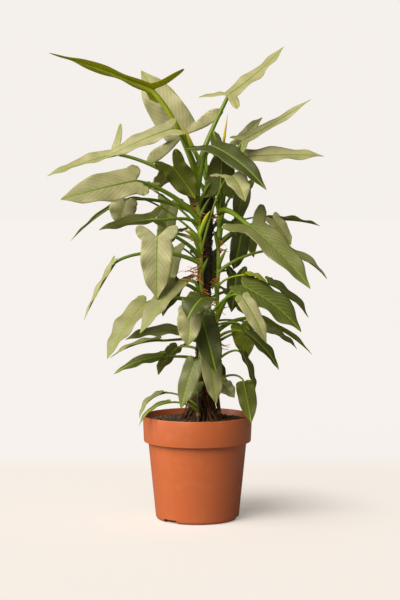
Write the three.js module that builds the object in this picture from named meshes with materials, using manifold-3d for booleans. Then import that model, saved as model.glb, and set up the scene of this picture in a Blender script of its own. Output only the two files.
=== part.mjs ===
// Arrow-leaved philodendron climbing a moss pole in a nursery pot.
// Millimetres, +Z up. The origin is the centre of the pot's flat underside.
import * as THREE from "three";
import { mergeVertices } from "three/addons/utils/BufferGeometryUtils.js";
import Module from "manifold-3d";

const wasm = await Module();
wasm.setup();

// Driving dimensions of the pot.
const POT_HEIGHT = 228;
const RIM_RADIUS = 120;
const BAND_HEIGHT = 57;
const BAND_TAPER = 2.5;
const BODY_TOP_RADIUS = 108;
const BASE_RADIUS = 91;
const CORNER_RADIUS = 8;
const WALL = 2.8;
const FLOOR = 4;
const POT_FACETS = 36;
const NOTCH = { count: 3, width: 36, depth: 14, height: 8, firstAngle: 229 };
const FLOOR_HOLE = { count: 4, radius: 6, ring: 55 };

// Soil, moss pole and the clearance that touching pieces keep.
const SOIL_TOP = 211;
const SOIL_MOUND = 5;
const GAP = 0.35;
const POLE = {
  radius: 18, foot: 40, top: 706, flareRadius: 32, flareRows: [235, 265, 295], flareTop: 325, buriedSkirt: 25,
  facets: 14,
};
const POLE_LEAN = { x: 8, z: 218, slope: 0.0245 };

// Leaves.
const BLADE_THICKNESS = 1;
const EAR_ROWS = 3;
const BODY_ROWS = 4;
const EAR_SPREAD_GROWN = 118;
const EAR_SPREAD_YOUNG = 140;
const GROWN_EAR = 30;
const PETIOLE_SIDES = 4;
const PETIOLE_STEPS = 6;
const PETIOLE_SLENDERNESS = 0.021;
const PETIOLE_RADIUS = { least: 1.6, most: 4.6 };
const RIB_REACH = 0.25;

const COLOURS = {
  pot: [0xb35a2d, 0.5], soil: [0x2b211b, 1], pole: [0x2e1d14, 1], vine: [0x8f9a52, 0.6],
  leaf: [0x76865c, 0.5], spear: [0xb9b638, 0.5],
};

// Each climbing stem: radius, then the points it passes through, from the soil up.
const VINES = {
  front: {
    radius: 5.5,
    path: [
      [2, -44, 150], [2, -43, 215], [4, -34, 300], [8, -27, 400],
      [8, -27, 555], [2, -26, 690], [3, -24, 790],
    ],
  },
  right: {
    radius: 4.5,
    path: [
      [52, -6, 150], [50, -6, 215], [42, -4, 300], [42, -3, 400],
      [45, -2, 535], [47, 0, 660], [50, 5, 775],
    ],
  },
  back: {
    radius: 5,
    path: [
      [8, 44, 150], [8, 42, 215], [10, 32, 300], [14, 28, 400],
      [18, 28, 550], [20, 28, 700], [22, 30, 775],
    ],
  },
};

// Each leaf: name, the stem that bears it and the height of its foot there, the junction of stalk
// and blade, the tip, the way its upper face looks, blade width, ear length, how far the halves
// fold up in degrees, how much the midrib arches as a share of its length and, where they differ
// from the rule, the angle between ear and tip and how far the ears lift.
const LEAVES = [
  ["leaf_01", "front", 742, [-95, -38, 935], [-315, -80, 1010], [0.15, 0.4, 0.9], 42, 98, 5, 0.02, 112, 0.5],
  ["leaf_02", "back", 745, [-30, 54, 840], [-125, 84, 985], [-0.3, -0.9, 0.2], 84, 105, 10, 0.02, 92, 0],
  ["leaf_03", "front", 700, [-175, 0, 800], [-325, -20, 750], [-0.1, -0.5, 0.85], 42, 58, 20, 0.02, 118, 0.6],
  ["leaf_04", "front", 722, [-55, -75, 850], [-200, -90, 785], [-0.2, -0.8, 0.6], 42, 26, 8, 0.04],
  ["leaf_05", "front", 690, [-50, -72, 768], [-4, -62, 702], [-0.3, 0.7, 0.7], 58, 42, 10, 0.05, 140],
  ["leaf_06", "front", 728, [30, -65, 815], [145, -140, 720], [0.3, -0.9, 0.5], 52, 56, 10, 0.1, 132],
  ["leaf_07", "right", 690, [50, -35, 722], [54, -35, 812], [0, 0.9, -0.3], 64, 35, 15, 0.03],
  ["leaf_08", "front", 582, [72, -98, 750], [100, -150, 695], [0, -0.4, 0.9], 52, 48, 15, 0.12, 100],
  ["leaf_09", "front", 768, [65, 0, 925], [190, 60, 1035], [-0.4, -0.5, 0.75], 50, 78, 5, -0.03, 112, 0.1],
  ["leaf_10", "right", 700, [100, 45, 830], [250, 60, 920], [-0.3, -0.6, 0.7], 30, 40, 5, -0.02],
  ["leaf_11", "back", 650, [92, 85, 822], [145, 95, 882], [-0.3, -0.8, 0.3], 30, 20, 20, 0.05],
  ["leaf_12", "right", 615, [95, 50, 792], [280, 60, 795], [0, -0.6, 0.8], 54, 35, 10, 0.03],
  ["leaf_13", "back", 600, [102, 65, 730], [86, 75, 645], [0.2, -0.9, 0.2], 40, 20, 15, 0.05],
  ["leaf_14", "right", 672, [115, -110, 645], [235, -180, 515], [0.3, -0.8, 0.5], 66, 68, 12, 0.05],
  ["leaf_15", "right", 600, [145, 75, 655], [275, 105, 640], [0, 0.1, 1], 42, 30, 20, 0.05],
  ["leaf_16", "back", 610, [166, 15, 655], [205, 10, 600], [0.2, -0.7, 0.5], 38, 15, 15, 0.05],
  ["leaf_17", "right", 540, [190, 20, 590], [285, 20, 525], [0.3, -0.3, 0.8], 40, 25, 20, 0.08],
  ["leaf_18", "right", 510, [105, -60, 540], [150, -80, 520], [0.2, -0.4, 0.9], 22, 8, 20, 0.1],
  ["leaf_19", "right", 440, [100, -80, 515], [220, -120, 420], [0.5, -0.7, 0.6], 84, 25, 10, 0.08],
  ["leaf_20", "right", 465, [155, -35, 520], [240, -50, 445], [0.4, -0.3, 0.8], 46, 20, 15, 0.08],
  ["leaf_21", "right", 410, [130, 45, 440], [255, 60, 355], [0.3, 0.3, 0.9], 30, 15, 20, 0.06],
  ["leaf_22", "back", 420, [135, 85, 425], [195, 120, 385], [0.3, -0.2, 0.9], 34, 12, 20, 0.08],
  ["leaf_23", "right", 385, [145, 15, 415], [220, 25, 370], [0.3, -0.4, 0.8], 32, 12, 20, 0.08],
  ["leaf_24", "front", 415, [95, -145, 495], [145, -165, 400], [0.3, -0.9, 0.3], 38, 10, 10, 0.06],
  ["leaf_25", "right", 395, [105, -60, 415], [175, -75, 335], [0.4, -0.6, 0.6], 36, 12, 15, 0.08],
  ["leaf_26", "right", 425, [95, -15, 425], [110, -15, 355], [0.1, 0.9, 0.2], 50, 12, 10, 0.05],
  ["leaf_27", "right", 345, [95, -40, 370], [125, -50, 285], [0.8, -0.5, 0.2], 30, 8, 20, 0.05],
  ["leaf_28", "right", 300, [100, -100, 310], [115, -110, 225], [0.2, 0.9, -0.2], 42, 6, 10, 0.04],
  ["leaf_29", "right", 285, [50, -60, 305], [80, -80, 275], [0.2, -0.8, 0.4], 36, 10, 8, 0.1],
  ["leaf_30", "front", 330, [-5, -100, 355], [-35, -110, 255], [-0.2, -0.9, 0.3], 44, 12, 12, 0.05],
  ["leaf_31", "front", 350, [25, -104, 375], [40, -112, 265], [0.1, -0.9, 0.3], 46, 14, 12, 0.05],
  ["leaf_32", "front", 430, [10, -120, 450], [40, -140, 335], [0.1, -0.9, 0.2], 58, 20, 12, 0.05],
  ["leaf_33", "front", 400, [-15, -160, 465], [-20, -172, 395], [0, -0.9, 0.4], 53, 18, 12, 0.05],
  ["leaf_34", "front", 450, [10, -165, 495], [-20, -205, 455], [0, -0.5, 0.85], 66, 20, 10, 0.1],
  ["leaf_35", "front", 575, [-85, -120, 620], [-85, -130, 490], [-0.1, -0.95, 0.2], 70, 50, 12, 0.04],
  ["leaf_36", "front", 646, [-90, -85, 660], [-210, -90, 635], [0, 0.6, 0.7], 38, 42, 15, 0.04],
  ["leaf_37", "back", 650, [-165, -15, 700], [-275, -20, 610], [-0.3, 0.2, 0.9], 16, 15, 30, 0.04],
  ["leaf_38", "front", 655, [-130, -100, 740], [-285, -160, 700], [-0.1, -0.9, 0.4], 72, 38, 5, 0.03],
  ["leaf_39", "front", 630, [-100, -55, 725], [-185, -55, 730], [0, -0.3, 0.9], 44, 35, 15, 0.05],
  ["leaf_40", "front", 615, [-155, -50, 695], [-170, -52, 645], [-0.1, -0.9, 0.2], 60, 15, 10, 0.05],
  ["leaf_41", "front", 560, [-180, -40, 565], [-245, -40, 440], [-0.8, -0.3, 0.4], 30, 15, 15, 0.02],
  ["leaf_42", "front", 490, [-45, -100, 520], [-120, -165, 420], [-0.4, -0.8, 0.4], 48, 18, 12, 0.06],
  ["leaf_43", "front", 470, [-110, -80, 480], [-190, -140, 365], [-0.5, -0.7, 0.4], 58, 20, 12, 0.08],
  ["leaf_44", "front", 405, [-35, -50, 415], [-155, -80, 400], [0, -0.5, 0.8], 40, 12, 15, 0.08],
  ["leaf_45", "back", 380, [-85, -15, 395], [-190, -20, 355], [-0.1, -0.2, 1], 28, 10, 20, 0.08],
  ["leaf_46", "back", 340, [-75, 25, 355], [-185, 20, 315], [-0.1, -0.6, 0.9], 34, 10, 10, 0.08],
  ["leaf_47", "front", 250, [-75, -30, 280], [-125, -60, 228], [-0.4, -0.2, 0.8], 28, 8, 20, 0.15],
  ["leaf_48", "front", 240, [-60, -62, 264], [-126, -80, 214], [-0.3, -0.4, 0.8], 17, 6, 20, 0.16],
  ["leaf_49", "front", 290, [0, -55, 305], [-20, -60, 270], [0, -0.9, 0.3], 32, 10, 10, 0.05],
];

// Leaves behind the pole, one body with the back stem, in the same columns.
const BACK_LEAVES = [
  ["back_leaf_01", "back", 728, [25, 112, 808], [80, 232, 775], [0.2, 0.3, 1], 56, 45, 12, 0.07],
  ["back_leaf_02", "back", 715, [-45, 110, 765], [-95, 235, 715], [-0.2, 0.5, 0.8], 58, 46, 12, 0.07],
  ["back_leaf_03", "back", 675, [5, 120, 705], [15, 250, 640], [0.1, 0.7, 0.7], 62, 48, 12, 0.07],
  ["back_leaf_04", "back", 625, [75, 105, 650], [130, 205, 565], [0.4, 0.7, 0.5], 60, 44, 12, 0.06],
  ["back_leaf_05", "back", 590, [-60, 95, 625], [-115, 190, 540], [-0.4, 0.7, 0.5], 60, 42, 12, 0.06],
  ["back_leaf_06", "back", 555, [20, 120, 575], [35, 225, 490], [0.1, 0.8, 0.5], 58, 40, 12, 0.06],
  ["back_leaf_07", "back", 500, [-40, 100, 520], [-80, 190, 430], [-0.3, 0.8, 0.5], 56, 36, 12, 0.06],
  ["back_leaf_08", "back", 465, [75, 100, 495], [120, 185, 420], [0.4, 0.7, 0.5], 54, 34, 12, 0.06],
  ["back_leaf_09", "back", 435, [5, 105, 440], [5, 190, 355], [0, 0.8, 0.5], 52, 30, 12, 0.06],
  ["back_leaf_10", "back", 360, [-45, 85, 370], [-90, 140, 300], [-0.4, 0.7, 0.5], 44, 18, 12, 0.06],
  ["back_leaf_11", "back", 325, [35, 95, 335], [55, 160, 262], [0.2, 0.8, 0.4], 42, 14, 12, 0.06],
  ["back_leaf_12", "back", 562, [95, 25, 620], [80, 50, 545], [0.3, -0.9, 0.2], 44, 26, 12, 0.05],
  ["back_leaf_13", "back", 545, [-50, 5, 592], [-60, 12, 512], [-0.3, -0.9, 0.2], 40, 22, 12, 0.05],
  ["back_leaf_14", "back", 655, [-60, 50, 690], [-75, 75, 590], [-0.3, -0.9, 0.2], 48, 34, 12, 0.05],
  ["back_leaf_15", "back", 528, [85, 25, 535], [75, 45, 450], [0.3, -0.9, 0.2], 42, 24, 12, 0.05],
];

// Rolled young leaves and sheaths: name, stem, height of the foot, tip and thickest radius.
const SPEARS = [
  ["spear_upper_left", "front", 778, [-34, -50, 862], 3.5],
  ["spear_upper_right", "right", 764, [66, -20, 885], 3],
  ["sheath_middle", "front", 622, [28, -55, 676], 4],
  ["sheath_left", "front", 606, [-30, -62, 634], 4],
];

const vec = ([x, y, z]) => new THREE.Vector3(x, y, z);
const UP = vec([0, 0, 1]);
const poleCentre = (z) => POLE_LEAN.x + (z - POLE_LEAN.z) * POLE_LEAN.slope;

// A closed geometry as a solid for joining and cutting.
function solidOf(geometry) {
  geometry.deleteAttribute("normal");
  geometry.deleteAttribute("uv");
  const merged = mergeVertices(geometry, 1e-3);
  const index = merged.index.array;
  const triangles = [];
  for (let i = 0; i < index.length; i += 3) {
    const [a, b, c] = index.slice(i, i + 3);
    if (a !== b && b !== c && c !== a) triangles.push(a, b, c);
  }
  const vertProperties = new Float32Array(merged.attributes.position.array);
  const mesh = new wasm.Mesh({ numProp: 3, vertProperties, triVerts: new Uint32Array(triangles) });
  return new wasm.Manifold(mesh);
}

function geometryOf(solid) {
  const { vertProperties, triVerts } = solid.getMesh();
  const geometry = new THREE.BufferGeometry();
  geometry.setAttribute("position", new THREE.BufferAttribute(vertProperties, 3));
  geometry.setIndex(new THREE.BufferAttribute(triVerts, 1));
  geometry.computeVertexNormals();
  return geometry;
}

function tube(curve, radius, sides, steps) {
  const section = new THREE.Shape();
  for (let i = 0; i < sides; i += 1) {
    const angle = (i / sides) * 2 * Math.PI;
    const [x, y] = [radius * Math.cos(angle), radius * Math.sin(angle)];
    if (i === 0) section.moveTo(x, y);
    else section.lineTo(x, y);
  }
  return solidOf(new THREE.ExtrudeGeometry(section, { steps, bevelEnabled: false, extrudePath: curve }));
}

// A lathe about Z from [radius, height] pairs.
function turned(profile, facets) {
  const points = profile.map(([r, z]) => new THREE.Vector2(r, z));
  return new THREE.LatheGeometry(points, facets).rotateX(Math.PI / 2);
}

const vineCurve = (vine) => new THREE.CatmullRomCurve3(vine.path.map(vec));
const vineSolid = (vine, extra) => tube(vineCurve(vine), vine.radius + extra, 7, 12);

// The point on a stem's centre line at a height.
function vinePoint(vine, z) {
  const curve = vineCurve(vine);
  let [low, high] = [0, 1];
  for (let i = 0; i < 30; i += 1) {
    const middle = (low + high) / 2;
    if (curve.getPoint(middle).z < z) low = middle;
    else high = middle;
  }
  return curve.getPoint(low);
}

function potSolid() {
  const bandBottom = POT_HEIGHT - BAND_HEIGHT;
  const corner = [];
  for (let i = 0; i <= 3; i += 1) {
    const angle = -Math.PI / 2 + (i / 3) * (Math.PI / 2.2);
    corner.push([
      BASE_RADIUS - CORNER_RADIUS + CORNER_RADIUS * Math.cos(angle),
      CORNER_RADIUS + CORNER_RADIUS * Math.sin(angle),
    ]);
  }
  const solid = solidOf(turned([
    [0, 0],
    ...corner,
    [BODY_TOP_RADIUS, bandBottom],
    [RIM_RADIUS - BAND_TAPER, bandBottom],
    [RIM_RADIUS, POT_HEIGHT - 1.5],
    [RIM_RADIUS - 1, POT_HEIGHT],
    [RIM_RADIUS - WALL, POT_HEIGHT],
    [RIM_RADIUS - BAND_TAPER - WALL, bandBottom + WALL],
    [BODY_TOP_RADIUS - WALL, bandBottom + WALL],
    [BASE_RADIUS - WALL, FLOOR],
    [0, FLOOR],
  ], POT_FACETS));
  const cuts = [];
  for (let i = 0; i < NOTCH.count; i += 1) {
    const angle = THREE.MathUtils.degToRad(NOTCH.firstAngle + (i * 360) / NOTCH.count);
    const box = new THREE.BoxGeometry(NOTCH.depth, NOTCH.width, NOTCH.height * 2);
    cuts.push(box.translate(BASE_RADIUS, 0, 0).rotateZ(angle));
  }
  for (let i = 0; i < FLOOR_HOLE.count; i += 1) {
    const hole = new THREE.CylinderGeometry(FLOOR_HOLE.radius, FLOOR_HOLE.radius, 3 * FLOOR, 12);
    hole.rotateX(Math.PI / 2).translate(FLOOR_HOLE.ring, 0, FLOOR / 2);
    cuts.push(hole.rotateZ((i / FLOOR_HOLE.count) * 2 * Math.PI));
  }
  return cuts.reduce((pot, cut) => pot.subtract(solidOf(cut)), solid);
}

// The moss pole leans a little and spreads into a skirt of roots where it meets the soil.
function poleSolid(extra) {
  const skirt = POLE.flareTop - SOIL_TOP;
  const spread = POLE.flareRadius - POLE.radius;
  const flare = (z) => POLE.radius + spread * Math.max(0, 1 - (z - SOIL_TOP) / skirt) ** 2;
  const heights = [SOIL_TOP, ...POLE.flareRows, POLE.flareTop, POLE.top];
  const geometry = turned([
    [0, POLE.foot - extra],
    [POLE.radius + extra, POLE.foot - extra],
    [POLE.radius + extra, SOIL_TOP - POLE.buriedSkirt],
    ...heights.map((z) => [flare(z) + extra, z + (z === POLE.top ? extra : 0)]),
    [0, POLE.top + extra],
  ], POLE.facets);
  const position = geometry.attributes.position;
  for (let i = 0; i < position.count; i += 1) {
    position.setX(i, position.getX(i) + poleCentre(position.getZ(i)));
  }
  return solidOf(geometry);
}

function soilSolid(neighbours) {
  const bandBottom = POT_HEIGHT - BAND_HEIGHT;
  const inner = WALL + GAP;
  const lean = (BODY_TOP_RADIUS - BASE_RADIUS) / bandBottom;
  const soil = solidOf(turned([
    [0, FLOOR + GAP],
    [BASE_RADIUS - inner, FLOOR + GAP],
    [BODY_TOP_RADIUS - inner - lean * WALL, bandBottom],
    [BODY_TOP_RADIUS - inner, bandBottom + WALL + GAP],
    [RIM_RADIUS - BAND_TAPER - inner, bandBottom + WALL + GAP],
    [RIM_RADIUS - inner - 1, SOIL_TOP],
    [RIM_RADIUS * 0.6, SOIL_TOP + SOIL_MOUND * 0.7],
    [0, SOIL_TOP + SOIL_MOUND],
  ], POT_FACETS));
  return neighbours.reduce((solid, neighbour) => solid.subtract(neighbour), soil);
}

// One half of a blade, flat: rows from the ear's end to the tip, each a pair of points, the inner
// one on the ear's back edge or the midrib and the outer one on the margin. X is across, Y along.
function halfOutline(length, width, ear, spread) {
  const half = width / 2.06;
  const waist = new THREE.Vector2(half * 0.95, length * 0.05);
  const angle = THREE.MathUtils.degToRad(spread);
  const end = new THREE.Vector2(Math.sin(angle), Math.cos(angle)).multiplyScalar(ear);
  if (ear < GROWN_EAR) end.x += half * 0.35;
  const middle = waist.clone().multiplyScalar(0.5);
  const axis = middle.clone().sub(end).normalize();
  const across = new THREE.Vector2(-axis.y, axis.x);
  if (across.dot(waist) < 0) across.negate();
  const rows = [];
  for (let i = 0; i < EAR_ROWS; i += 1) {
    const q = (i / EAR_ROWS) ** 1.6;
    const centre = end.clone().lerp(middle, q);
    const reach = (waist.length() / 2) * Math.sqrt(1 - (1 - q) ** 2);
    const way = across.clone().lerp(waist.clone().normalize(), q).normalize().multiplyScalar(reach);
    rows.push({ pair: [centre.clone().sub(way), centre.clone().add(way)], lift: (1 - q) ** 2 });
  }
  for (let i = 0; i <= BODY_ROWS; i += 1) {
    const t = i / BODY_ROWS;
    const margin = half * (0.95 + 0.05 * Math.min(1, t * 5)) * (1 - t) ** 0.75 * (1 + 1.1 * t);
    const outer = new THREE.Vector2(margin, t * length + 0.05 * length * (1 - t));
    rows.push({ pair: [new THREE.Vector2(0, t * length), outer], lift: 0 });
  }
  return rows;
}

// The blade's own frame: along the midrib, up from the upper face, and across.
function bladeFrame([, , , junction, tip, facing]) {
  const start = vec(junction);
  const along = vec(tip).sub(start);
  const length = along.length();
  along.normalize();
  const up = vec(facing);
  up.addScaledVector(along, -up.dot(along)).normalize();
  return { start, along, up, length, across: along.clone().cross(up) };
}

// The midrib's point and upward direction at a distance from the junction.
function midrib({ start, along, up, length }, arch, y) {
  const t = Math.max(0, y / length);
  const slope = 4 * arch * (1 - 2 * t);
  const point = start.clone().addScaledVector(along, y).addScaledVector(up, length * 4 * arch * t * (1 - t));
  if (y < 0) {
    const back = along.clone().addScaledVector(up, 4 * arch).normalize();
    point.copy(start).addScaledVector(back, y);
  }
  return { point, normal: up.clone().addScaledVector(along, -slope).normalize() };
}

function bladeSolid(leaf) {
  const [, , , , , , width, ear, fold, arch, ownSpread, lift = 0] = leaf;
  const frame = bladeFrame(leaf);
  const spread = ownSpread ?? (ear >= GROWN_EAR ? EAR_SPREAD_GROWN : EAR_SPREAD_YOUNG);
  const rows = halfOutline(frame.length, width, ear, spread);
  const rise = THREE.MathUtils.degToRad(fold);
  const positions = [];
  const place = (flat, liftShare, side, face) => {
    const { point, normal } = midrib(frame, arch, flat.y);
    const height = flat.x * Math.sin(rise) - (0.15 * flat.x ** 2) / width + lift * ear * liftShare;
    const tilt = flat.x === 0 ? 0 : rise;
    const outward = normal.clone().multiplyScalar(Math.cos(tilt));
    outward.addScaledVector(frame.across, -side * Math.sin(tilt));
    return point
      .addScaledVector(frame.across, side * flat.x * Math.cos(rise))
      .addScaledVector(normal, height)
      .addScaledVector(outward, (face * BLADE_THICKNESS) / 2);
  };
  const quad = (a, b, c, d) => {
    for (const p of [a, b, c, a, c, d]) positions.push(p.x, p.y, p.z);
  };
  for (const side of [1, -1]) {
    const row = ({ pair, lift: share }, face) => pair.map((flat) => place(flat, share, side, face));
    const grid = (face) => rows.map((entry) => row(entry, face));
    const [top, bottom] = [grid(1), grid(-1)];
    const wind = (a, b, c, d) => (side > 0 ? quad(a, b, c, d) : quad(d, c, b, a));
    for (let i = 0; i + 1 < rows.length; i += 1) {
      wind(top[i][0], top[i][1], top[i + 1][1], top[i + 1][0]);
      wind(bottom[i + 1][0], bottom[i + 1][1], bottom[i][1], bottom[i][0]);
      wind(bottom[i][1], bottom[i + 1][1], top[i + 1][1], top[i][1]);
      if (i < EAR_ROWS) wind(top[i][0], top[i + 1][0], bottom[i + 1][0], bottom[i][0]);
    }
  }
  const geometry = new THREE.BufferGeometry();
  geometry.setAttribute("position", new THREE.Float32BufferAttribute(positions, 3));
  return solidOf(geometry);
}

// The stalk leaves the stem upwards, bends over to the junction from behind and below, and runs on
// a little way under the blade.
function stalkCurve(leaf) {
  const [, stem, height, , , , , , , arch] = leaf;
  const frame = bladeFrame(leaf);
  const foot = vinePoint(VINES[stem], height);
  const reach = frame.start.distanceTo(foot);
  const leave = frame.start.clone().sub(foot).normalize().addScaledVector(UP, 0.6).normalize();
  const depth = stalkRadius(frame.length) * 0.7;
  const under = ({ point, normal }) => point.addScaledVector(normal, -depth);
  const end = under(midrib(frame, arch, 0));
  const departure = foot.clone().addScaledVector(leave, 0.35 * reach);
  const approach = end.clone().addScaledVector(frame.along, -0.22 * reach);
  approach.addScaledVector(frame.up, -0.12 * reach);
  const bend = new THREE.CubicBezierCurve3(foot, departure, approach, end);
  const rib = under(midrib(frame, arch, RIB_REACH * frame.length));
  return new THREE.CatmullRomCurve3([...bend.getPoints(PETIOLE_STEPS - 2), rib]);
}

function stalkRadius(length) {
  return THREE.MathUtils.clamp(PETIOLE_SLENDERNESS * length, PETIOLE_RADIUS.least, PETIOLE_RADIUS.most);
}

function stalkSolid(leaf) {
  return tube(stalkCurve(leaf), stalkRadius(bladeFrame(leaf).length), PETIOLE_SIDES, PETIOLE_STEPS);
}

function leafSolid(leaf, fatVines) {
  return bladeSolid(leaf).add(stalkSolid(leaf).subtract(fatVines[leaf[1]]));
}

// A stem and the leaves that are one body with it.
function leafyVine(name) {
  const borne = BACK_LEAVES.filter((leaf) => leaf[1] === name);
  const bare = vineSolid(VINES[name], 0);
  return borne.reduce((stem, leaf) => stem.add(bladeSolid(leaf)).add(stalkSolid(leaf)), bare);
}

// A spear is a slim spindle from its stem to its point.
function spearSolid([, stem, height, tip, radius], fatVines) {
  const foot = vinePoint(VINES[stem], height);
  const reach = vec(tip).sub(foot);
  const profile = [[0, 0], [radius * 0.6, 0], [radius, 0.3], [radius * 0.8, 0.7], [0, 1]];
  const geometry = turned(profile.map(([r, share]) => [r, share * reach.length()]), 8);
  geometry.applyQuaternion(new THREE.Quaternion().setFromUnitVectors(UP, reach.clone().normalize()));
  return solidOf(geometry.translate(foot.x, foot.y, foot.z)).subtract(fatVines[stem]);
}

const plant = new THREE.Group();

function addPiece(name, solid, [colour, roughness]) {
  const material = new THREE.MeshStandardMaterial({ color: colour, roughness, metalness: 0 });
  const piece = new THREE.Mesh(geometryOf(solid), material);
  piece.name = name;
  plant.add(piece);
}

const fatten = ([name, vine]) => [name, vineSolid(vine, GAP)];
const fatVines = Object.fromEntries(Object.entries(VINES).map(fatten));
addPiece("pot", potSolid(), COLOURS.pot);
addPiece("soil", soilSolid([poleSolid(GAP), ...Object.values(fatVines)]), COLOURS.soil);
addPiece("moss_pole", poleSolid(0), COLOURS.pole);
for (const name of Object.keys(VINES)) addPiece(`vine_${name}`, leafyVine(name), COLOURS.vine);
for (const leaf of LEAVES) addPiece(leaf[0], leafSolid(leaf, fatVines), COLOURS.leaf);
for (const spear of SPEARS) addPiece(spear[0], spearSolid(spear, fatVines), COLOURS.spear);

export default plant;
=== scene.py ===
"""Arrow-leaved philodendron on a moss pole in a nursery pot: the finished surface of every piece.

Metres, +Z up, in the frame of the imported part. The bodies, sizes and places come from the frame.
"""

import math
import random

import bmesh
import bpy
import numpy as np
from bpy.props import FloatProperty, FloatVectorProperty, IntProperty, PointerProperty
from mathutils import Euler, Matrix, Vector


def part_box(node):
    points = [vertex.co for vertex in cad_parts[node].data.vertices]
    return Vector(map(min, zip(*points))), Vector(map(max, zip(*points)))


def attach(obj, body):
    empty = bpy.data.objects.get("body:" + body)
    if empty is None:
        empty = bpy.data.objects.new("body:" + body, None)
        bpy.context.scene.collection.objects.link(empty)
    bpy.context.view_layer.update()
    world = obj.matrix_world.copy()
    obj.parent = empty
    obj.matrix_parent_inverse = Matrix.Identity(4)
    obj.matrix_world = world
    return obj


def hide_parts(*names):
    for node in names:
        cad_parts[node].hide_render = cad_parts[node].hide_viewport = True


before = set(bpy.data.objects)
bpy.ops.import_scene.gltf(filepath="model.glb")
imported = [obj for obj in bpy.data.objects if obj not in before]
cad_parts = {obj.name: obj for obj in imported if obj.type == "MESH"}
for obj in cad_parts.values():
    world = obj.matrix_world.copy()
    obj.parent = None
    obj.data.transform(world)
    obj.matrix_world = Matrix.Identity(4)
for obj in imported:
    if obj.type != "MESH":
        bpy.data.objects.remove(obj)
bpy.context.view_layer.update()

bl_info = {
    "name": "Potted philodendron",
    "version": (1, 0, 0),
    "blender": (4, 5, 0),
    "location": "View3D > Sidebar > Philodendron",
    "description": "Builds the finished pot, soil, moss pole, stems and leaves of a climbing philodendron",
    "category": "Add Mesh",
}

BODY = "root"

# The pot: its size comes from the frame, its band and body from what such pots measure.
POT_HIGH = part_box("pot")[1]
RIM_RADIUS = POT_HIGH.x
POT_HEIGHT = POT_HIGH.z
BAND_HEIGHT = POT_HEIGHT / 4
BODY_TOP_RADIUS = RIM_RADIUS * 0.9
BASE_RADIUS = RIM_RADIUS * 0.758
BAND_TAPER = 0.0025
POT_FLOOR = 0.004
FOOT_ROUNDING, LIP_ROUNDING = 0.008, 0.0012
SLOT_COUNT, SLOT_SIZE, SLOT_ANGLE = 3, (0.028, 0.036, 0.016), 229
HOLE_COUNT, HOLE_RADIUS, HOLE_RING, HOLE_CUT = 4, 0.006, 0.055, 0.02

# The soil: heights of its underside and its edge, its mound and the lumps on top.
SOIL_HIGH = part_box("soil")[1]
SOIL_UNDERSIDE = 0.0045
SOIL_EDGE = 0.211
SOIL_MOUND = SOIL_HIGH.z - SOIL_EDGE
SOIL_LEVELLING = 0.002
SOIL_GAP = 0.0008
SOIL_RINGS = 26
SOIL_LUMPS = (-0.0016, 0.0008)

# The pole: POLE_LEAN is its X at a height, that height, and how far it leans for each metre.
POLE_LOW, POLE_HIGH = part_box("moss_pole")
POLE_RADIUS = 0.018
POLE_FLARE_RADIUS = 0.032
POLE_FLARE_TOP = 0.325
POLE_LEAN = (0.008, 0.218, 0.0245)
POLE_LEVELS = 90
COAT_DEPTH = 0.0035
FOOT_MAT = 0.007

# Blades: the angle between ear and tip in degrees, from what ear length a leaf counts as grown,
# the relief of veins and midrib, and the rows and columns of a half blade.
EAR_SPREAD_GROWN = 118
EAR_SPREAD_YOUNG = 140
GROWN_EAR = 0.03
PUFF = 0.00045
GROOVE, GROOVE_WIDTH = 0.0004, 0.0014
EAR_ROWS = 10
BODY_ROWS = 26
COLUMNS = 7

# Stalks, sheaths and roots: their radii, and into how many steps each is divided.
STALK_SLENDERNESS = 0.021
STALK_LEAST, STALK_MOST = 0.0016, 0.0046
STALK_FULLNESS = 1.2
SHEATH_RADIUS = 0.0042
STALK_STEPS, RIB_STEPS = 22, 14
SPEAR_STEPS = 24
ROOT_STEPS = 12

# Seeds of what is strewn or drawn at random.
CRUMB_SEED, LUMP_SEED, FIBRE_SEED, FOOT_SEED = 3, 5, 7, 21
AERIAL_SEED, TONE_SEED = 40, 500

# The stage: places of the two lights, the strip's size, and the camera's offset to the right.
FLOOR_RADIUS = 40
KEY_PLACE = (-1.5, -2.0, 2.6)
STRIP_PLACE, STRIP_TARGET, STRIP_SIZE = (-1.9, -0.2, 0.9), (0, 0, 0.4), (0.5, 1.5)
CAMERA_OFFSET = 0.0057

# Each climbing stem: radius, then the points it passes through, from the soil up.
STEMS = {
    "front": (0.0055, [
        (0.002, -0.044, 0.15), (0.002, -0.043, 0.215), (0.004, -0.034, 0.3), (0.008, -0.027, 0.4),
        (0.008, -0.027, 0.555), (0.002, -0.026, 0.69), (0.003, -0.024, 0.79),
    ]),
    "right": (0.0045, [
        (0.052, -0.006, 0.15), (0.05, -0.006, 0.215), (0.042, -0.004, 0.3), (0.042, -0.003, 0.4),
        (0.045, -0.002, 0.535), (0.047, 0, 0.66), (0.05, 0.005, 0.775),
    ]),
    "back": (0.005, [
        (0.008, 0.044, 0.15), (0.008, 0.042, 0.215), (0.01, 0.032, 0.3), (0.014, 0.028, 0.4),
        (0.018, 0.028, 0.55), (0.02, 0.028, 0.7), (0.022, 0.03, 0.775),
    ]),
}

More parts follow.
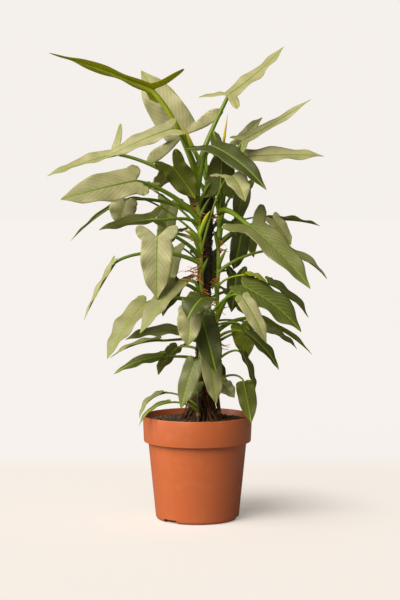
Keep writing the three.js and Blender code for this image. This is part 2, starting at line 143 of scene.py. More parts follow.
# Tufts of aerial roots on each stem: height, heading in degrees from +X, how many, and their length.
ROOT_TUFTS = {
    "front": [
        (0.545, 190, 11, 0.06), (0.56, 240, 5, 0.035), (0.69, 200, 9, 0.026), (0.665, 330, 6, 0.022),
        (0.62, 180, 6, 0.03), (0.585, 350, 6, 0.02), (0.5, 340, 6, 0.022), (0.46, 200, 6, 0.035),
        (0.42, 330, 5, 0.022),
    ],
    "right": [
        (0.47, 300, 9, 0.035), (0.445, 230, 7, 0.03), (0.52, 200, 6, 0.028), (0.6, 340, 6, 0.03),
        (0.66, 190, 6, 0.028), (0.4, 280, 6, 0.03), (0.37, 320, 6, 0.03),
    ],
    "back": [
        (0.535, 150, 9, 0.05), (0.64, 120, 7, 0.035), (0.7, 190, 6, 0.03), (0.48, 40, 7, 0.04),
        (0.43, 100, 6, 0.035),
    ],
}

# Sheaths at the stems' nodes: height, heading in degrees and length.
SHEATHS = {
    "front": [
        (0.712, 205, 0.06), (0.682, 338, 0.055), (0.655, 350, 0.05), (0.64, 200, 0.05),
        (0.575, 215, 0.045), (0.535, 320, 0.04), (0.49, 190, 0.04),
    ],
    "right": [
        (0.7, 200, 0.06), (0.672, 215, 0.05), (0.64, 320, 0.05), (0.59, 240, 0.045),
        (0.55, 330, 0.045), (0.48, 250, 0.04),
    ],
    "back": [
        (0.7, 150, 0.06), (0.67, 290, 0.05), (0.63, 190, 0.05), (0.58, 60, 0.045),
        (0.52, 120, 0.045),
    ],
}

# Each leaf, its lengths in millimetres: name, the stem that bears it and the height of its foot
# there, the junction of stalk and blade, the tip, the way its upper face looks, blade width, ear
# length, how far the halves fold up in degrees, how much the midrib arches as a share of its length
# and, where they differ from the rule, the angle between ear and tip and how far the ears lift.
LEAVES = [
    ("leaf_01", "front", 742, (-95, -38, 935), (-315, -80, 1010), (0.15, 0.4, 0.9), 42, 98, 5, 0.02, 112, 0.5),
    ("leaf_02", "back", 745, (-30, 54, 840), (-125, 84, 985), (-0.3, -0.9, 0.2), 84, 105, 10, 0.02, 92, 0),
    ("leaf_03", "front", 700, (-175, 0, 800), (-325, -20, 750), (-0.1, -0.5, 0.85), 42, 58, 20, 0.02, 118, 0.6),
    ("leaf_04", "front", 722, (-55, -75, 850), (-200, -90, 785), (-0.2, -0.8, 0.6), 42, 26, 8, 0.04),
    ("leaf_05", "front", 690, (-50, -72, 768), (-4, -62, 702), (-0.3, 0.7, 0.7), 58, 42, 10, 0.05, 140),
    ("leaf_06", "front", 728, (30, -65, 815), (145, -140, 720), (0.3, -0.9, 0.5), 52, 56, 10, 0.1, 132),
    ("leaf_07", "right", 690, (50, -35, 722), (54, -35, 812), (0, 0.9, -0.3), 64, 35, 15, 0.03),
    ("leaf_08", "front", 582, (72, -98, 750), (100, -150, 695), (0, -0.4, 0.9), 52, 48, 15, 0.12, 100),
    ("leaf_09", "front", 768, (65, 0, 925), (190, 60, 1035), (-0.4, -0.5, 0.75), 50, 78, 5, -0.03, 112, 0.1),
    ("leaf_10", "right", 700, (100, 45, 830), (250, 60, 920), (-0.3, -0.6, 0.7), 30, 40, 5, -0.02),
    ("leaf_11", "back", 650, (92, 85, 822), (145, 95, 882), (-0.3, -0.8, 0.3), 30, 20, 20, 0.05),
    ("leaf_12", "right", 615, (95, 50, 792), (280, 60, 795), (0, -0.6, 0.8), 54, 35, 10, 0.03),
    ("leaf_13", "back", 600, (102, 65, 730), (86, 75, 645), (0.2, -0.9, 0.2), 40, 20, 15, 0.05),
    ("leaf_14", "right", 672, (115, -110, 645), (235, -180, 515), (0.3, -0.8, 0.5), 66, 68, 12, 0.05),
    ("leaf_15", "right", 600, (145, 75, 655), (275, 105, 640), (0, 0.1, 1), 42, 30, 20, 0.05),
    ("leaf_16", "back", 610, (166, 15, 655), (205, 10, 600), (0.2, -0.7, 0.5), 38, 15, 15, 0.05),
    ("leaf_17", "right", 540, (190, 20, 590), (285, 20, 525), (0.3, -0.3, 0.8), 40, 25, 20, 0.08),
    ("leaf_18", "right", 510, (105, -60, 540), (150, -80, 520), (0.2, -0.4, 0.9), 22, 8, 20, 0.1),
    ("leaf_19", "right", 440, (100, -80, 515), (220, -120, 420), (0.5, -0.7, 0.6), 84, 25, 10, 0.08),
    ("leaf_20", "right", 465, (155, -35, 520), (240, -50, 445), (0.4, -0.3, 0.8), 46, 20, 15, 0.08),
    ("leaf_21", "right", 410, (130, 45, 440), (255, 60, 355), (0.3, 0.3, 0.9), 30, 15, 20, 0.06),
    ("leaf_22", "back", 420, (135, 85, 425), (195, 120, 385), (0.3, -0.2, 0.9), 34, 12, 20, 0.08),
    ("leaf_23", "right", 385, (145, 15, 415), (220, 25, 370), (0.3, -0.4, 0.8), 32, 12, 20, 0.08),
    ("leaf_24", "front", 415, (95, -145, 495), (145, -165, 400), (0.3, -0.9, 0.3), 38, 10, 10, 0.06),
    ("leaf_25", "right", 395, (105, -60, 415), (175, -75, 335), (0.4, -0.6, 0.6), 36, 12, 15, 0.08),
    ("leaf_26", "right", 425, (95, -15, 425), (110, -15, 355), (0.1, 0.9, 0.2), 50, 12, 10, 0.05),
    ("leaf_27", "right", 345, (95, -40, 370), (125, -50, 285), (0.8, -0.5, 0.2), 30, 8, 20, 0.05),
    ("leaf_28", "right", 300, (100, -100, 310), (115, -110, 225), (0.2, 0.9, -0.2), 42, 6, 10, 0.04),
    ("leaf_29", "right", 285, (50, -60, 305), (80, -80, 275), (0.2, -0.8, 0.4), 36, 10, 8, 0.1),
    ("leaf_30", "front", 330, (-5, -100, 355), (-35, -110, 255), (-0.2, -0.9, 0.3), 44, 12, 12, 0.05),
    ("leaf_31", "front", 350, (25, -104, 375), (40, -112, 265), (0.1, -0.9, 0.3), 46, 14, 12, 0.05),
    ("leaf_32", "front", 430, (10, -120, 450), (40, -140, 335), (0.1, -0.9, 0.2), 58, 20, 12, 0.05),
    ("leaf_33", "front", 400, (-15, -160, 465), (-20, -172, 395), (0, -0.9, 0.4), 53, 18, 12, 0.05),
    ("leaf_34", "front", 450, (10, -165, 495), (-20, -205, 455), (0, -0.5, 0.85), 66, 20, 10, 0.1),
    ("leaf_35", "front", 575, (-85, -120, 620), (-85, -130, 490), (-0.1, -0.95, 0.2), 70, 50, 12, 0.04),
    ("leaf_36", "front", 646, (-90, -85, 660), (-210, -90, 635), (0, 0.6, 0.7), 38, 42, 15, 0.04),
    ("leaf_37", "back", 650, (-165, -15, 700), (-275, -20, 610), (-0.3, 0.2, 0.9), 16, 15, 30, 0.04),
    ("leaf_38", "front", 655, (-130, -100, 740), (-285, -160, 700), (-0.1, -0.9, 0.4), 72, 38, 5, 0.03),
    ("leaf_39", "front", 630, (-100, -55, 725), (-185, -55, 730), (0, -0.3, 0.9), 44, 35, 15, 0.05),
    ("leaf_40", "front", 615, (-155, -50, 695), (-170, -52, 645), (-0.1, -0.9, 0.2), 60, 15, 10, 0.05),
    ("leaf_41", "front", 560, (-180, -40, 565), (-245, -40, 440), (-0.8, -0.3, 0.4), 30, 15, 15, 0.02),
    ("leaf_42", "front", 490, (-45, -100, 520), (-120, -165, 420), (-0.4, -0.8, 0.4), 48, 18, 12, 0.06),
    ("leaf_43", "front", 470, (-110, -80, 480), (-190, -140, 365), (-0.5, -0.7, 0.4), 58, 20, 12, 0.08),
    ("leaf_44", "front", 405, (-35, -50, 415), (-155, -80, 400), (0, -0.5, 0.8), 40, 12, 15, 0.08),
    ("leaf_45", "back", 380, (-85, -15, 395), (-190, -20, 355), (-0.1, -0.2, 1), 28, 10, 20, 0.08),
    ("leaf_46", "back", 340, (-75, 25, 355), (-185, 20, 315), (-0.1, -0.6, 0.9), 34, 10, 10, 0.08),
    ("leaf_47", "front", 250, (-75, -30, 280), (-125, -60, 228), (-0.4, -0.2, 0.8), 28, 8, 20, 0.15),
    ("leaf_48", "front", 240, (-60, -62, 264), (-126, -80, 214), (-0.3, -0.4, 0.8), 17, 6, 20, 0.16),
    ("leaf_49", "front", 290, (0, -55, 305), (-20, -60, 270), (0, -0.9, 0.3), 32, 10, 10, 0.05),
]

# Leaves behind the pole, which are one body with the back stem, in the same columns.
BACK_LEAVES = [
    ("back_leaf_01", "back", 728, (25, 112, 808), (80, 232, 775), (0.2, 0.3, 1), 56, 45, 12, 0.07),
    ("back_leaf_02", "back", 715, (-45, 110, 765), (-95, 235, 715), (-0.2, 0.5, 0.8), 58, 46, 12, 0.07),
    ("back_leaf_03", "back", 675, (5, 120, 705), (15, 250, 640), (0.1, 0.7, 0.7), 62, 48, 12, 0.07),
    ("back_leaf_04", "back", 625, (75, 105, 650), (130, 205, 565), (0.4, 0.7, 0.5), 60, 44, 12, 0.06),
    ("back_leaf_05", "back", 590, (-60, 95, 625), (-115, 190, 540), (-0.4, 0.7, 0.5), 60, 42, 12, 0.06),
    ("back_leaf_06", "back", 555, (20, 120, 575), (35, 225, 490), (0.1, 0.8, 0.5), 58, 40, 12, 0.06),
    ("back_leaf_07", "back", 500, (-40, 100, 520), (-80, 190, 430), (-0.3, 0.8, 0.5), 56, 36, 12, 0.06),
    ("back_leaf_08", "back", 465, (75, 100, 495), (120, 185, 420), (0.4, 0.7, 0.5), 54, 34, 12, 0.06),
    ("back_leaf_09", "back", 435, (5, 105, 440), (5, 190, 355), (0, 0.8, 0.5), 52, 30, 12, 0.06),
    ("back_leaf_10", "back", 360, (-45, 85, 370), (-90, 140, 300), (-0.4, 0.7, 0.5), 44, 18, 12, 0.06),
    ("back_leaf_11", "back", 325, (35, 95, 335), (55, 160, 262), (0.2, 0.8, 0.4), 42, 14, 12, 0.06),
    ("back_leaf_12", "back", 562, (95, 25, 620), (80, 50, 545), (0.3, -0.9, 0.2), 44, 26, 12, 0.05),
    ("back_leaf_13", "back", 545, (-50, 5, 592), (-60, 12, 512), (-0.3, -0.9, 0.2), 40, 22, 12, 0.05),
    ("back_leaf_14", "back", 655, (-60, 50, 690), (-75, 75, 590), (-0.3, -0.9, 0.2), 48, 34, 12, 0.05),
    ("back_leaf_15", "back", 528, (85, 25, 535), (75, 45, 450), (0.3, -0.9, 0.2), 42, 24, 12, 0.05),
]

# How silvery and how yellow each kind of leaf is, how far painted shade darkens it where it stands
# in shadow, and which leaves are of it. Leaves 50 to 64 are those behind the pole, and the leaves
# that no kind lists are grey.
TONES = {
    "silver": (0.95, 0.05, 0.0),
    "grey": (0.62, 0.1, 0.15),
    "green": (0.30, 0.12, 0.2),
    "olive": (0.02, 0.15, 0.2),
    # Painted shade: this kind stands in shadow, so its colour is darkened almost to black green.
    "in_shade": (0.03, 0.12, 0.9),
    "young": (0.0, 1.0, 0.0),
}
KINDS = {
    "silver": (2, 3, 4, 8, 9, 10, 11, 12, 16, 24, 29, 33, 35, 36, 37, 38, 39, 40, 41),
    "olive": (19, 20, 26, 46, 48, 49, 54),
    "green": (13, 14, 23, 30, 51, 57, 63),
    # Leaves darkened by painted shade because they stand in shadow, many of them behind the pole.
    "in_shade": (5, 6, 7, 25, 27, 28, 32, 34, 50, 52, 55, 56, 60, 61, 64),
    "young": (1, 18),
}

# Rolled young leaves and sheaths: name, stem, height of the foot, tip and thickest radius.
SPEARS = [
    ("spear_upper_left", "front", 0.778, (-0.034, -0.05, 0.862), 0.0044),
    ("spear_upper_right", "right", 0.764, (0.066, -0.02, 0.885), 0.0038),
    ("sheath_middle", "front", 0.622, (0.028, -0.055, 0.676), 0.006),
    ("sheath_left", "front", 0.606, (-0.03, -0.062, 0.634), 0.006),
]


# ---------------------------------------------------------------- settings

class PotSettings(bpy.types.PropertyGroup):
    """Finish and fineness of the pot."""

    colour: FloatVectorProperty(
        name="Colour", description="Colour of the moulded plastic", subtype="COLOR", size=4, min=0,
        max=1, default=(0.55, 0.126, 0.031, 1))
    wall: FloatProperty(
        name="Wall", description="Thickness of the plastic", default=0.0028, unit="LENGTH")
    facets: IntProperty(name="Facets", description="Divisions round the pot", default=160, min=24)


class SoilSettings(bpy.types.PropertyGroup):
    """Crumbs of the potting soil."""

    colour: FloatVectorProperty(
        name="Colour", description="Colour of the moist soil", subtype="COLOR", size=4, min=0, max=1,
        default=(0.028, 0.019, 0.013, 1))
    crumbs: FloatProperty(
        name="Crumb density", description="Crumbs on each square metre", default=52000)
    crumb_size: FloatProperty(
        name="Crumb size", description="Radius of a usual crumb", default=0.0033, unit="LENGTH")


class PoleSettings(bpy.types.PropertyGroup):
    """Coir and roots of the moss pole."""

    colour: FloatVectorProperty(
        name="Colour", description="Colour of the damp coir", subtype="COLOR", size=4, min=0, max=1,
        default=(0.012, 0.006, 0.004, 1))
    fibres: FloatProperty(
        name="Fibre density", description="Fibres on each square metre", default=42000)
    foot_roots: IntProperty(
        name="Foot roots", description="How many roots run down the pole's foot", default=110)
    fibre_length: FloatProperty(
        name="Fibre length", description="Length of a usual fibre", default=0.011, unit="LENGTH")


class StemSettings(bpy.types.PropertyGroup):
    """Climbing stems and their aerial roots."""

    colour: FloatVectorProperty(
        name="Colour", description="Colour of a stem between its nodes", subtype="COLOR", size=4, min=0,
        max=1, default=(0.20, 0.30, 0.012, 1))
    node_colour: FloatVectorProperty(
        name="Node colour", description="Colour of the rings at the nodes", subtype="COLOR", size=4,
        min=0, max=1, default=(0.26, 0.17, 0.05, 1))
    root_colour: FloatVectorProperty(
        name="Root colour", description="Colour of the aerial roots", subtype="COLOR", size=4, min=0,
        max=1, default=(0.60, 0.15, 0.010, 1))
    node_spacing: FloatProperty(
        name="Node spacing", description="Distance between two nodes", default=0.042, unit="LENGTH")


class LeafSettings(bpy.types.PropertyGroup):
    """Blades and stalks."""

    silver: FloatVectorProperty(
        name="Silver", description="Colour of the waxy silver bloom", subtype="COLOR", size=4, min=0,
        max=1, default=(0.58, 0.55, 0.29, 1))
    green: FloatVectorProperty(
        name="Green", description="Colour of the blade under the bloom", subtype="COLOR", size=4, min=0,
        max=1, default=(0.060, 0.108, 0.002, 1))
    yellow: FloatVectorProperty(
        name="Yellow", description="Colour of olive and young blades", subtype="COLOR", size=4, min=0,
        max=1, default=(0.50, 0.50, 0.002, 1))
    midrib: FloatVectorProperty(
        name="Midrib", description="Colour of the main vein", subtype="COLOR", size=4, min=0, max=1,
        default=(0.27, 0.44, 0.006, 1))
    stalk: FloatVectorProperty(
        name="Stalk", description="Colour of the leaf stalks", subtype="COLOR", size=4, min=0, max=1,
        default=(0.12, 0.215, 0.005, 1))
    thickness: FloatProperty(
        name="Thickness", description="Thickness of a blade", default=0.0006, unit="LENGTH")
    ripple: FloatProperty(
        name="Ripple", description="Wave of the margin as a share of the blade's width", default=0.065)
    seed: IntProperty(name="Seed", description="Picks how each leaf's margin waves", default=11)


class StageSettings(bpy.types.PropertyGroup):
    """Floor, backdrop, lights and camera."""

    floor: FloatVectorProperty(
        name="Floor", description="Colour of the floor round the pot", subtype="COLOR", size=4, min=0,
        max=1, default=(0.30, 0.275, 0.25, 1))
    near_floor: FloatVectorProperty(
        name="Near floor", description="Colour of the floor in front", subtype="COLOR", size=4, min=0,
        max=1, default=(0.922, 0.847, 0.776, 1))
    far_floor: FloatVectorProperty(
        name="Far floor", description="Colour of the floor further back", subtype="COLOR", size=4,
        min=0, max=1, default=(0.930, 0.888, 0.855, 1))
    backdrop: FloatVectorProperty(
        name="Backdrop", description="Colour that shows behind the plant", subtype="COLOR", size=4,
        min=0, max=1, default=(0.913, 0.871, 0.839, 1))
    fill: FloatProperty(name="Fill", description="Strength of the light from all round", default=0.13)
    key_power: FloatProperty(
        name="Key power", description="Strength of the main light, in watts per square metre",
        default=4.1)
    key_softness: FloatProperty(
        name="Key softness", description="How wide the main light looks from the plant",
        default=math.radians(48), subtype="ANGLE")
    side_power: FloatProperty(
        name="Side power", description="Power of the strip light on the left", default=14,
        subtype="POWER")
    distance: FloatProperty(
        name="Camera distance", description="How far in front of the pot it stands", default=3.6,
        unit="LENGTH")
    height: FloatProperty(
        name="Camera height", description="Height of the lens above the floor", default=0.715,
        unit="LENGTH")
    pitch: FloatProperty(
        name="Camera pitch", description="How far it looks down", default=math.radians(3.73),
        subtype="ANGLE")
    lens: FloatProperty(name="Lens", description="Focal length in millimetres", default=99)


SETTINGS = {
    "philodendron_pot": PotSettings,
    "philodendron_soil": SoilSettings,
    "philodendron_pole": PoleSettings,
    "philodendron_stem": StemSettings,
    "philodendron_leaf": LeafSettings,
    "philodendron_stage": StageSettings,
}


# ---------------------------------------------------------------- small tools

def add(tree, kind, inputs=None, **settings):
    """Adds a node, sets its properties, and sets or links its inputs by name or place."""
    made = tree.nodes.new(kind)
    for key, value in settings.items():
        setattr(made, key, value)
    for key, value in (inputs or {}).items():
        if isinstance(value, bpy.types.NodeSocket):
            tree.links.new(value, made.inputs[key])
        else:
            made.inputs[key].default_value = value
    return made


def metres(millimetres):
    return [length / 1000 for length in millimetres]


def maths(tree, operation, *values):
    return add(tree, "ShaderNodeMath", dict(enumerate(values)), operation=operation).outputs[0]


def blend_colour(tree, factor, first, second):
    made = tree.nodes.new("ShaderNodeMix")
    made.data_type = "RGBA"
    for socket, value in zip((made.inputs[0], made.inputs[6], made.inputs[7]), (factor, first, second)):
        if isinstance(value, bpy.types.NodeSocket):
            tree.links.new(value, socket)
        else:
            socket.default_value = value
    return made.outputs[2]


def smooth_range(tree, value, low, high, out_low=0.0, out_high=1.0):
    made = add(tree, "ShaderNodeMapRange", {"Value": value}, interpolation_type="SMOOTHSTEP")
    for name, number in (("From Min", low), ("From Max", high), ("To Min", out_low), ("To Max", out_high)):
        made.inputs[name].default_value = number
    return made.outputs["Result"]


def attribute(tree, name):
    return add(tree, "ShaderNodeAttribute", attribute_name=name).outputs["Fac"]


def shader_group(name, inputs, outputs):
    """An empty shader group with float inputs (name, default) and float outputs."""
    group = bpy.data.node_groups.new(name, "ShaderNodeTree")
    for label, default in inputs:
        socket = group.interface.new_socket(label, in_out="INPUT", socket_type="NodeSocketFloat")
        socket.default_value = default
    for label in outputs:
        group.interface.new_socket(label, in_out="OUTPUT", socket_type="NodeSocketFloat")
    return group, group.nodes.new("NodeGroupInput"), group.nodes.new("NodeGroupOutput")


def use_group(tree, name, **values):
    made = tree.nodes.new("ShaderNodeGroup")
    made.node_tree = bpy.data.node_groups[name]
    for key, value in values.items():
        made.inputs[key.replace("_", " ")].default_value = value
    return made


def new_material(name):
    """A node material with its tree, its Principled shader and its output."""
    material = bpy.data.materials.new(name)
    material.use_nodes = True
    tree = material.node_tree
    return material, tree, tree.nodes["Principled BSDF"], tree.nodes["Material Output"]


def bump(tree, height, strength, distance):
    made = add(tree, "ShaderNodeBump", {"Height": height, "Strength": strength, "Distance": distance})
    return made.outputs[0]


def coat(tree, surface, colour, mask, roughness, relief, strength, distance):
    """Gives a surface its colour, a roughness that runs between two values and a fine relief."""
    tree.links.new(colour, surface.inputs["Base Color"])
    tree.links.new(smooth_range(tree, mask, 0, 1, *roughness), surface.inputs["Roughness"])
    tree.links.new(bump(tree, relief, strength, distance), surface.inputs["Normal"])


def new_piece(name, mesh):
    piece = bpy.data.objects.new(name, mesh)
    bpy.context.scene.collection.objects.link(piece)
    return piece


def settle(piece, node):
    """Ties a finished piece to the frame."""
    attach(piece, BODY)
    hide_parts(node)


def joined(name, meshes):
    """One piece made of several meshes, each with its materials and attributes."""
    parts = [new_piece(f"{name}_part_{i}", mesh) for i, mesh in enumerate(meshes)]
    first = parts[0]
    with bpy.context.temp_override(active_object=first, object=first, selected_objects=parts,
                                   selected_editable_objects=parts):
        bpy.ops.object.join()
    first.name = name
    first.data.name = name
    return first


def mesh_of(name, vertices, faces, smooth=True):
    mesh = bpy.data.meshes.new(name)
    mesh.from_pydata([tuple(v) for v in vertices], [], faces)
    mesh.polygons.foreach_set("use_smooth", [smooth] * len(mesh.polygons))
    mesh.update()
    return mesh


def revolved(name, profile, facets, smooth_angle=math.radians(40)):
    """A closed solid of revolution about Z from (radius, height) pairs that start and end on the axis."""
    vertices, faces, rings = [], [], []
    for radius, z in profile:
        if radius < 1e-6:
            rings.append([len(vertices)])
            vertices.append((0, 0, z))
            continue
        rings.append(list(range(len(vertices), len(vertices) + facets)))
        for i in range(facets):
            angle = 2 * math.pi * i / facets
            vertices.append((radius * math.cos(angle), radius * math.sin(angle), z))
    for lower, upper in zip(rings, rings[1:]):
        for i in range(facets):
            j = (i + 1) % facets
            if len(lower) == 1:
                faces.append((lower[0], upper[j], upper[i]))
            elif len(upper) == 1:
                faces.append((lower[i], lower[j], upper[0]))
            else:
                faces.append((lower[i], lower[j], upper[j], upper[i]))
    mesh = mesh_of(name, vertices, faces)
    mesh.set_sharp_from_angle(angle=smooth_angle)
    return mesh


def rounded(profile, radius, steps=4):
    """Rounds the inner corners of an outline of (x, z) points with short arcs."""
    points = [Vector(p) for p in profile]
    out = [points[0]]
    for before, corner, after in zip(points, points[1:], points[2:]):
        cut = min(radius, (before - corner).length * 0.45, (after - corner).length * 0.45)
        start = corner + (before - corner).normalized() * cut
        end = corner + (after - corner).normalized() * cut
        for i in range(steps + 1):
            t = i / steps
            out.append(start * (1 - t) ** 2 + corner * 2 * t * (1 - t) + end * t * t)
    out.append(points[-1])
    return [tuple(p) for p in out]


def smooth_path(points, steps):
    """Points on a Catmull-Rom curve through the given ones."""
    given = [Vector(p) for p in points]
    padded = [given[0] * 2 - given[1], *given, given[-1] * 2 - given[-2]]
    out = []
    for a, b, c, d in zip(padded, padded[1:], padded[2:], padded[3:]):
        for i in range(steps):
            t = i / steps
            out.append(0.5 * (2 * b + (c - a) * t + (2 * a - 5 * b + 4 * c - d) * t * t
                              + (3 * b - a - 3 * c + d) * t ** 3))
    out.append(given[-1])
    return out


def stem_point(stem, height):
    """The point on a stem's centre line at a height."""
    path = smooth_path(STEMS[stem][1], 8)
    for low, high in zip(path, path[1:]):
        if low.z <= height <= high.z:
            return low.lerp(high, (height - low.z) / (high.z - low.z))
    raise ValueError(f"the {stem} stem doesn't reach {height} m")


# ---------------------------------------------------------------- geometry trees

def geometry_tree(name, inputs):
    """An empty geometry tree with named inputs (name, socket type)."""
    tree = bpy.data.node_groups.new(name, "GeometryNodeTree")
    tree.interface.new_socket("Geometry", in_out="INPUT", socket_type="NodeSocketGeometry")
    for label, kind in inputs:
        tree.interface.new_socket(label, in_out="INPUT", socket_type=kind)
    tree.interface.new_socket("Geometry", in_out="OUTPUT", socket_type="NodeSocketGeometry")
    return tree, tree.nodes.new("NodeGroupInput").outputs, tree.nodes.new("NodeGroupOutput")


def finish_tree(tree, geometry, given, output):
    """Ends a tree in Realize Instances and Set Material."""
    real = add(tree, "GeometryNodeRealizeInstances", {"Geometry": geometry})
    smooth = add(tree, "GeometryNodeSetShadeSmooth", {"Geometry": real.outputs[0]})
    painted = add(tree, "GeometryNodeSetMaterial", {
        "Geometry": smooth.outputs[0], "Material": given["Material"]})
    tree.links.new(painted.outputs[0], output.inputs[0])


def tube_tree():
    """Round tubes along edges, as thick as the vertex attribute "thickness" says."""
    tree, given, output = geometry_tree("Tubes along edges", [("Sides", "NodeSocketInt"),
                                                              ("Material", "NodeSocketMaterial")])
    curve = add(tree, "GeometryNodeMeshToCurve", {"Mesh": given["Geometry"]})
    thickness = add(tree, "GeometryNodeInputNamedAttribute", {"Name": "thickness"}, data_type="FLOAT")
    circle = add(tree, "GeometryNodeCurvePrimitiveCircle", {"Resolution": given["Sides"], "Radius": 1.0})
    swept = add(tree, "GeometryNodeCurveToMesh", {
        "Curve": curve.outputs[0], "Profile Curve": circle.outputs["Curve"],
        "Scale": thickness.outputs["Attribute"], "Fill Caps": True})
    finish_tree(tree, swept.outputs[0], given, output)


def random_vector(tree, low, high, seed):
    made = add(tree, "FunctionNodeRandomValue", {0: low, 1: high, "Seed": seed}, data_type="FLOAT_VECTOR")
    return made.outputs["Value"]


def crumb_tree():
    """Crumbs strewn over a surface."""
    tree, given, output = geometry_tree("Strewn crumbs", [
        ("Density", "NodeSocketFloat"), ("Size", "NodeSocketFloat"), ("Seed", "NodeSocketInt"),
        ("Material", "NodeSocketMaterial")])
    spread = add(tree, "GeometryNodeDistributePointsOnFaces", {
        "Mesh": given["Geometry"], "Density": given["Density"], "Seed": given["Seed"]})
    crumb = add(tree, "GeometryNodeMeshIcoSphere", {"Radius": given["Size"], "Subdivisions": 2})
    turn = random_vector(tree, (0, 0, 0), (6.28, 6.28, 6.28), given["Seed"])
    size = random_vector(tree, (0.35, 0.35, 0.3), (1.5, 1.2, 0.9), given["Seed"])
    placed = add(tree, "GeometryNodeInstanceOnPoints", {
        "Points": spread.outputs["Points"], "Instance": crumb.outputs["Mesh"],
        "Rotation": turn, "Scale": size})
    finish_tree(tree, placed.outputs[0], given, output)


def fibre_tree():
    """Short bent fibres lying over a surface."""
    tree, given, output = geometry_tree("Coir fibres", [
        ("Density", "NodeSocketFloat"), ("Length", "NodeSocketFloat"), ("Thickness", "NodeSocketFloat"),
        ("Seed", "NodeSocketInt"), ("Material", "NodeSocketMaterial")])
    spread = add(tree, "GeometryNodeDistributePointsOnFaces", {
        "Mesh": given["Geometry"], "Density": given["Density"], "Seed": given["Seed"]})
    half = maths(tree, "MULTIPLY", given["Length"], 0.5)
    rise = maths(tree, "MULTIPLY", given["Length"], 0.22)
    back = maths(tree, "MULTIPLY", half, -1.0)
    start = add(tree, "ShaderNodeCombineXYZ", {"X": back})
    top = add(tree, "ShaderNodeCombineXYZ", {"Z": rise})
    end = add(tree, "ShaderNodeCombineXYZ", {"X": half, "Z": maths(tree, "MULTIPLY", rise, 0.4)})
    bow = add(tree, "GeometryNodeCurveQuadraticBezier", {
        "Resolution": 4, "Start": start.outputs[0], "Middle": top.outputs[0], "End": end.outputs[0]})
    ring = add(tree, "GeometryNodeCurvePrimitiveCircle", {"Resolution": 3, "Radius": given["Thickness"]})
    fibre = add(tree, "GeometryNodeCurveToMesh", {
        "Curve": bow.outputs[0], "Profile Curve": ring.outputs["Curve"], "Fill Caps": True})
    spin = add(tree, "FunctionNodeRandomValue", {2: -0.9, 3: 0.9, "Seed": given["Seed"]}, data_type="FLOAT")
    quarter = maths(tree, "ADD", spin.outputs[1], math.pi / 2)
    own = add(tree, "FunctionNodeAxisAngleToRotation", {"Axis": (0, 0, 1), "Angle": quarter})
    turned = add(tree, "FunctionNodeRotateRotation", {
        "Rotation": spread.outputs["Rotation"], "Rotate By": own.outputs[0]}, rotation_space="LOCAL")
    size = random_vector(tree, (0.5, 0.7, 0.2), (1.5, 1.3, 1.6), given["Seed"])
    placed = add(tree, "GeometryNodeInstanceOnPoints", {
        "Points": spread.outputs["Points"], "Instance": fibre.outputs["Mesh"],
        "Rotation": turned.outputs[0], "Scale": size})
    finish_tree(tree, placed.outputs[0], given, output)


def grown(name, tree, source, **values):
    """Runs a geometry tree on a mesh and returns the result as a plain mesh."""
    carrier = new_piece(f"{name}_source", source)
    modifier = carrier.modifiers.new("Growth", "NODES")
    modifier.node_group = tree
    for item in tree.interface.items_tree:
        if item.in_out == "INPUT" and item.name in values:
            modifier[item.identifier] = values[item.name]
    graph = bpy.context.evaluated_depsgraph_get()
    mesh = bpy.data.meshes.new_from_object(carrier.evaluated_get(graph), preserve_all_data_layers=True,
                                           depsgraph=graph)
    bpy.data.objects.remove(carrier)
    mesh.name = name
    return mesh


def tubes(name, strands, material, sides=8):
    """Tubes along strands of (point, thickness) pairs, whose "along" counts metres from the start."""
    points, edges, thickness, along = [], [], [], []
    for strand in strands:
        travelled = 0.0
        for i, (point, radius) in enumerate(strand):
            if i:
                travelled += (Vector(point) - Vector(strand[i - 1][0])).length
                edges.append((len(points) - 1, len(points)))
            points.append(tuple(point))
            thickness.append(radius)
            along.append(travelled)
    source = bpy.data.meshes.new(f"{name}_lines")
    source.from_pydata(points, edges, [])
    for label, values in (("thickness", thickness), ("along", along)):
        source.attributes.new(label, "FLOAT", "POINT").data.foreach_set("value", values)
    tree = bpy.data.node_groups["Tubes along edges"]
    return grown(name, tree, source, Sides=sides, Material=material)


# ---------------------------------------------------------------- shader groups

def mottle_group():
    """Soft patches and fine specks over a surface."""
    group, given, out = shader_group("Mottle", [("Patch Scale", 20.0), ("Speck Scale", 400.0)],
                                     ["Patches", "Specks"])
    place = add(group, "ShaderNodeTexCoord").outputs["Object"]
    patches = add(group, "ShaderNodeTexNoise", {"Vector": place, "Scale": given.outputs["Patch Scale"],
                                                "Detail": 4.0, "Roughness": 0.55})
    specks = add(group, "ShaderNodeTexNoise", {"Vector": place, "Scale": given.outputs["Speck Scale"],
                                               "Detail": 2.0})
    for noise, label in ((patches, "Patches"), (specks, "Specks")):
        group.links.new(smooth_range(group, noise.outputs["Fac"], 0.3, 0.7), out.inputs[label])


def vein_group():
    """Main and side veins from the blade's own attributes "rib" (metres from a main vein) and "vein"."""
    group, given, out = shader_group("Leaf veins", [("Rib Width", 0.0012), ("Line Share", 0.16)],
                                     ["Midrib", "Side Veins", "Quilting"])
    rib = maths(group, "DIVIDE", attribute(group, "rib"), given.outputs["Rib Width"])
    group.links.new(smooth_range(group, rib, 0.55, 1.25, 1.0, 0.0), out.inputs["Midrib"])
    wave = maths(group, "PINGPONG", attribute(group, "vein"), 0.5)
    line = maths(group, "DIVIDE", wave, given.outputs["Line Share"])
    group.links.new(smooth_range(group, line, 0.2, 1.0, 1.0, 0.0), out.inputs["Side Veins"])
    group.links.new(maths(group, "MULTIPLY", wave, 2.0), out.inputs["Quilting"])


# ---------------------------------------------------------------- materials

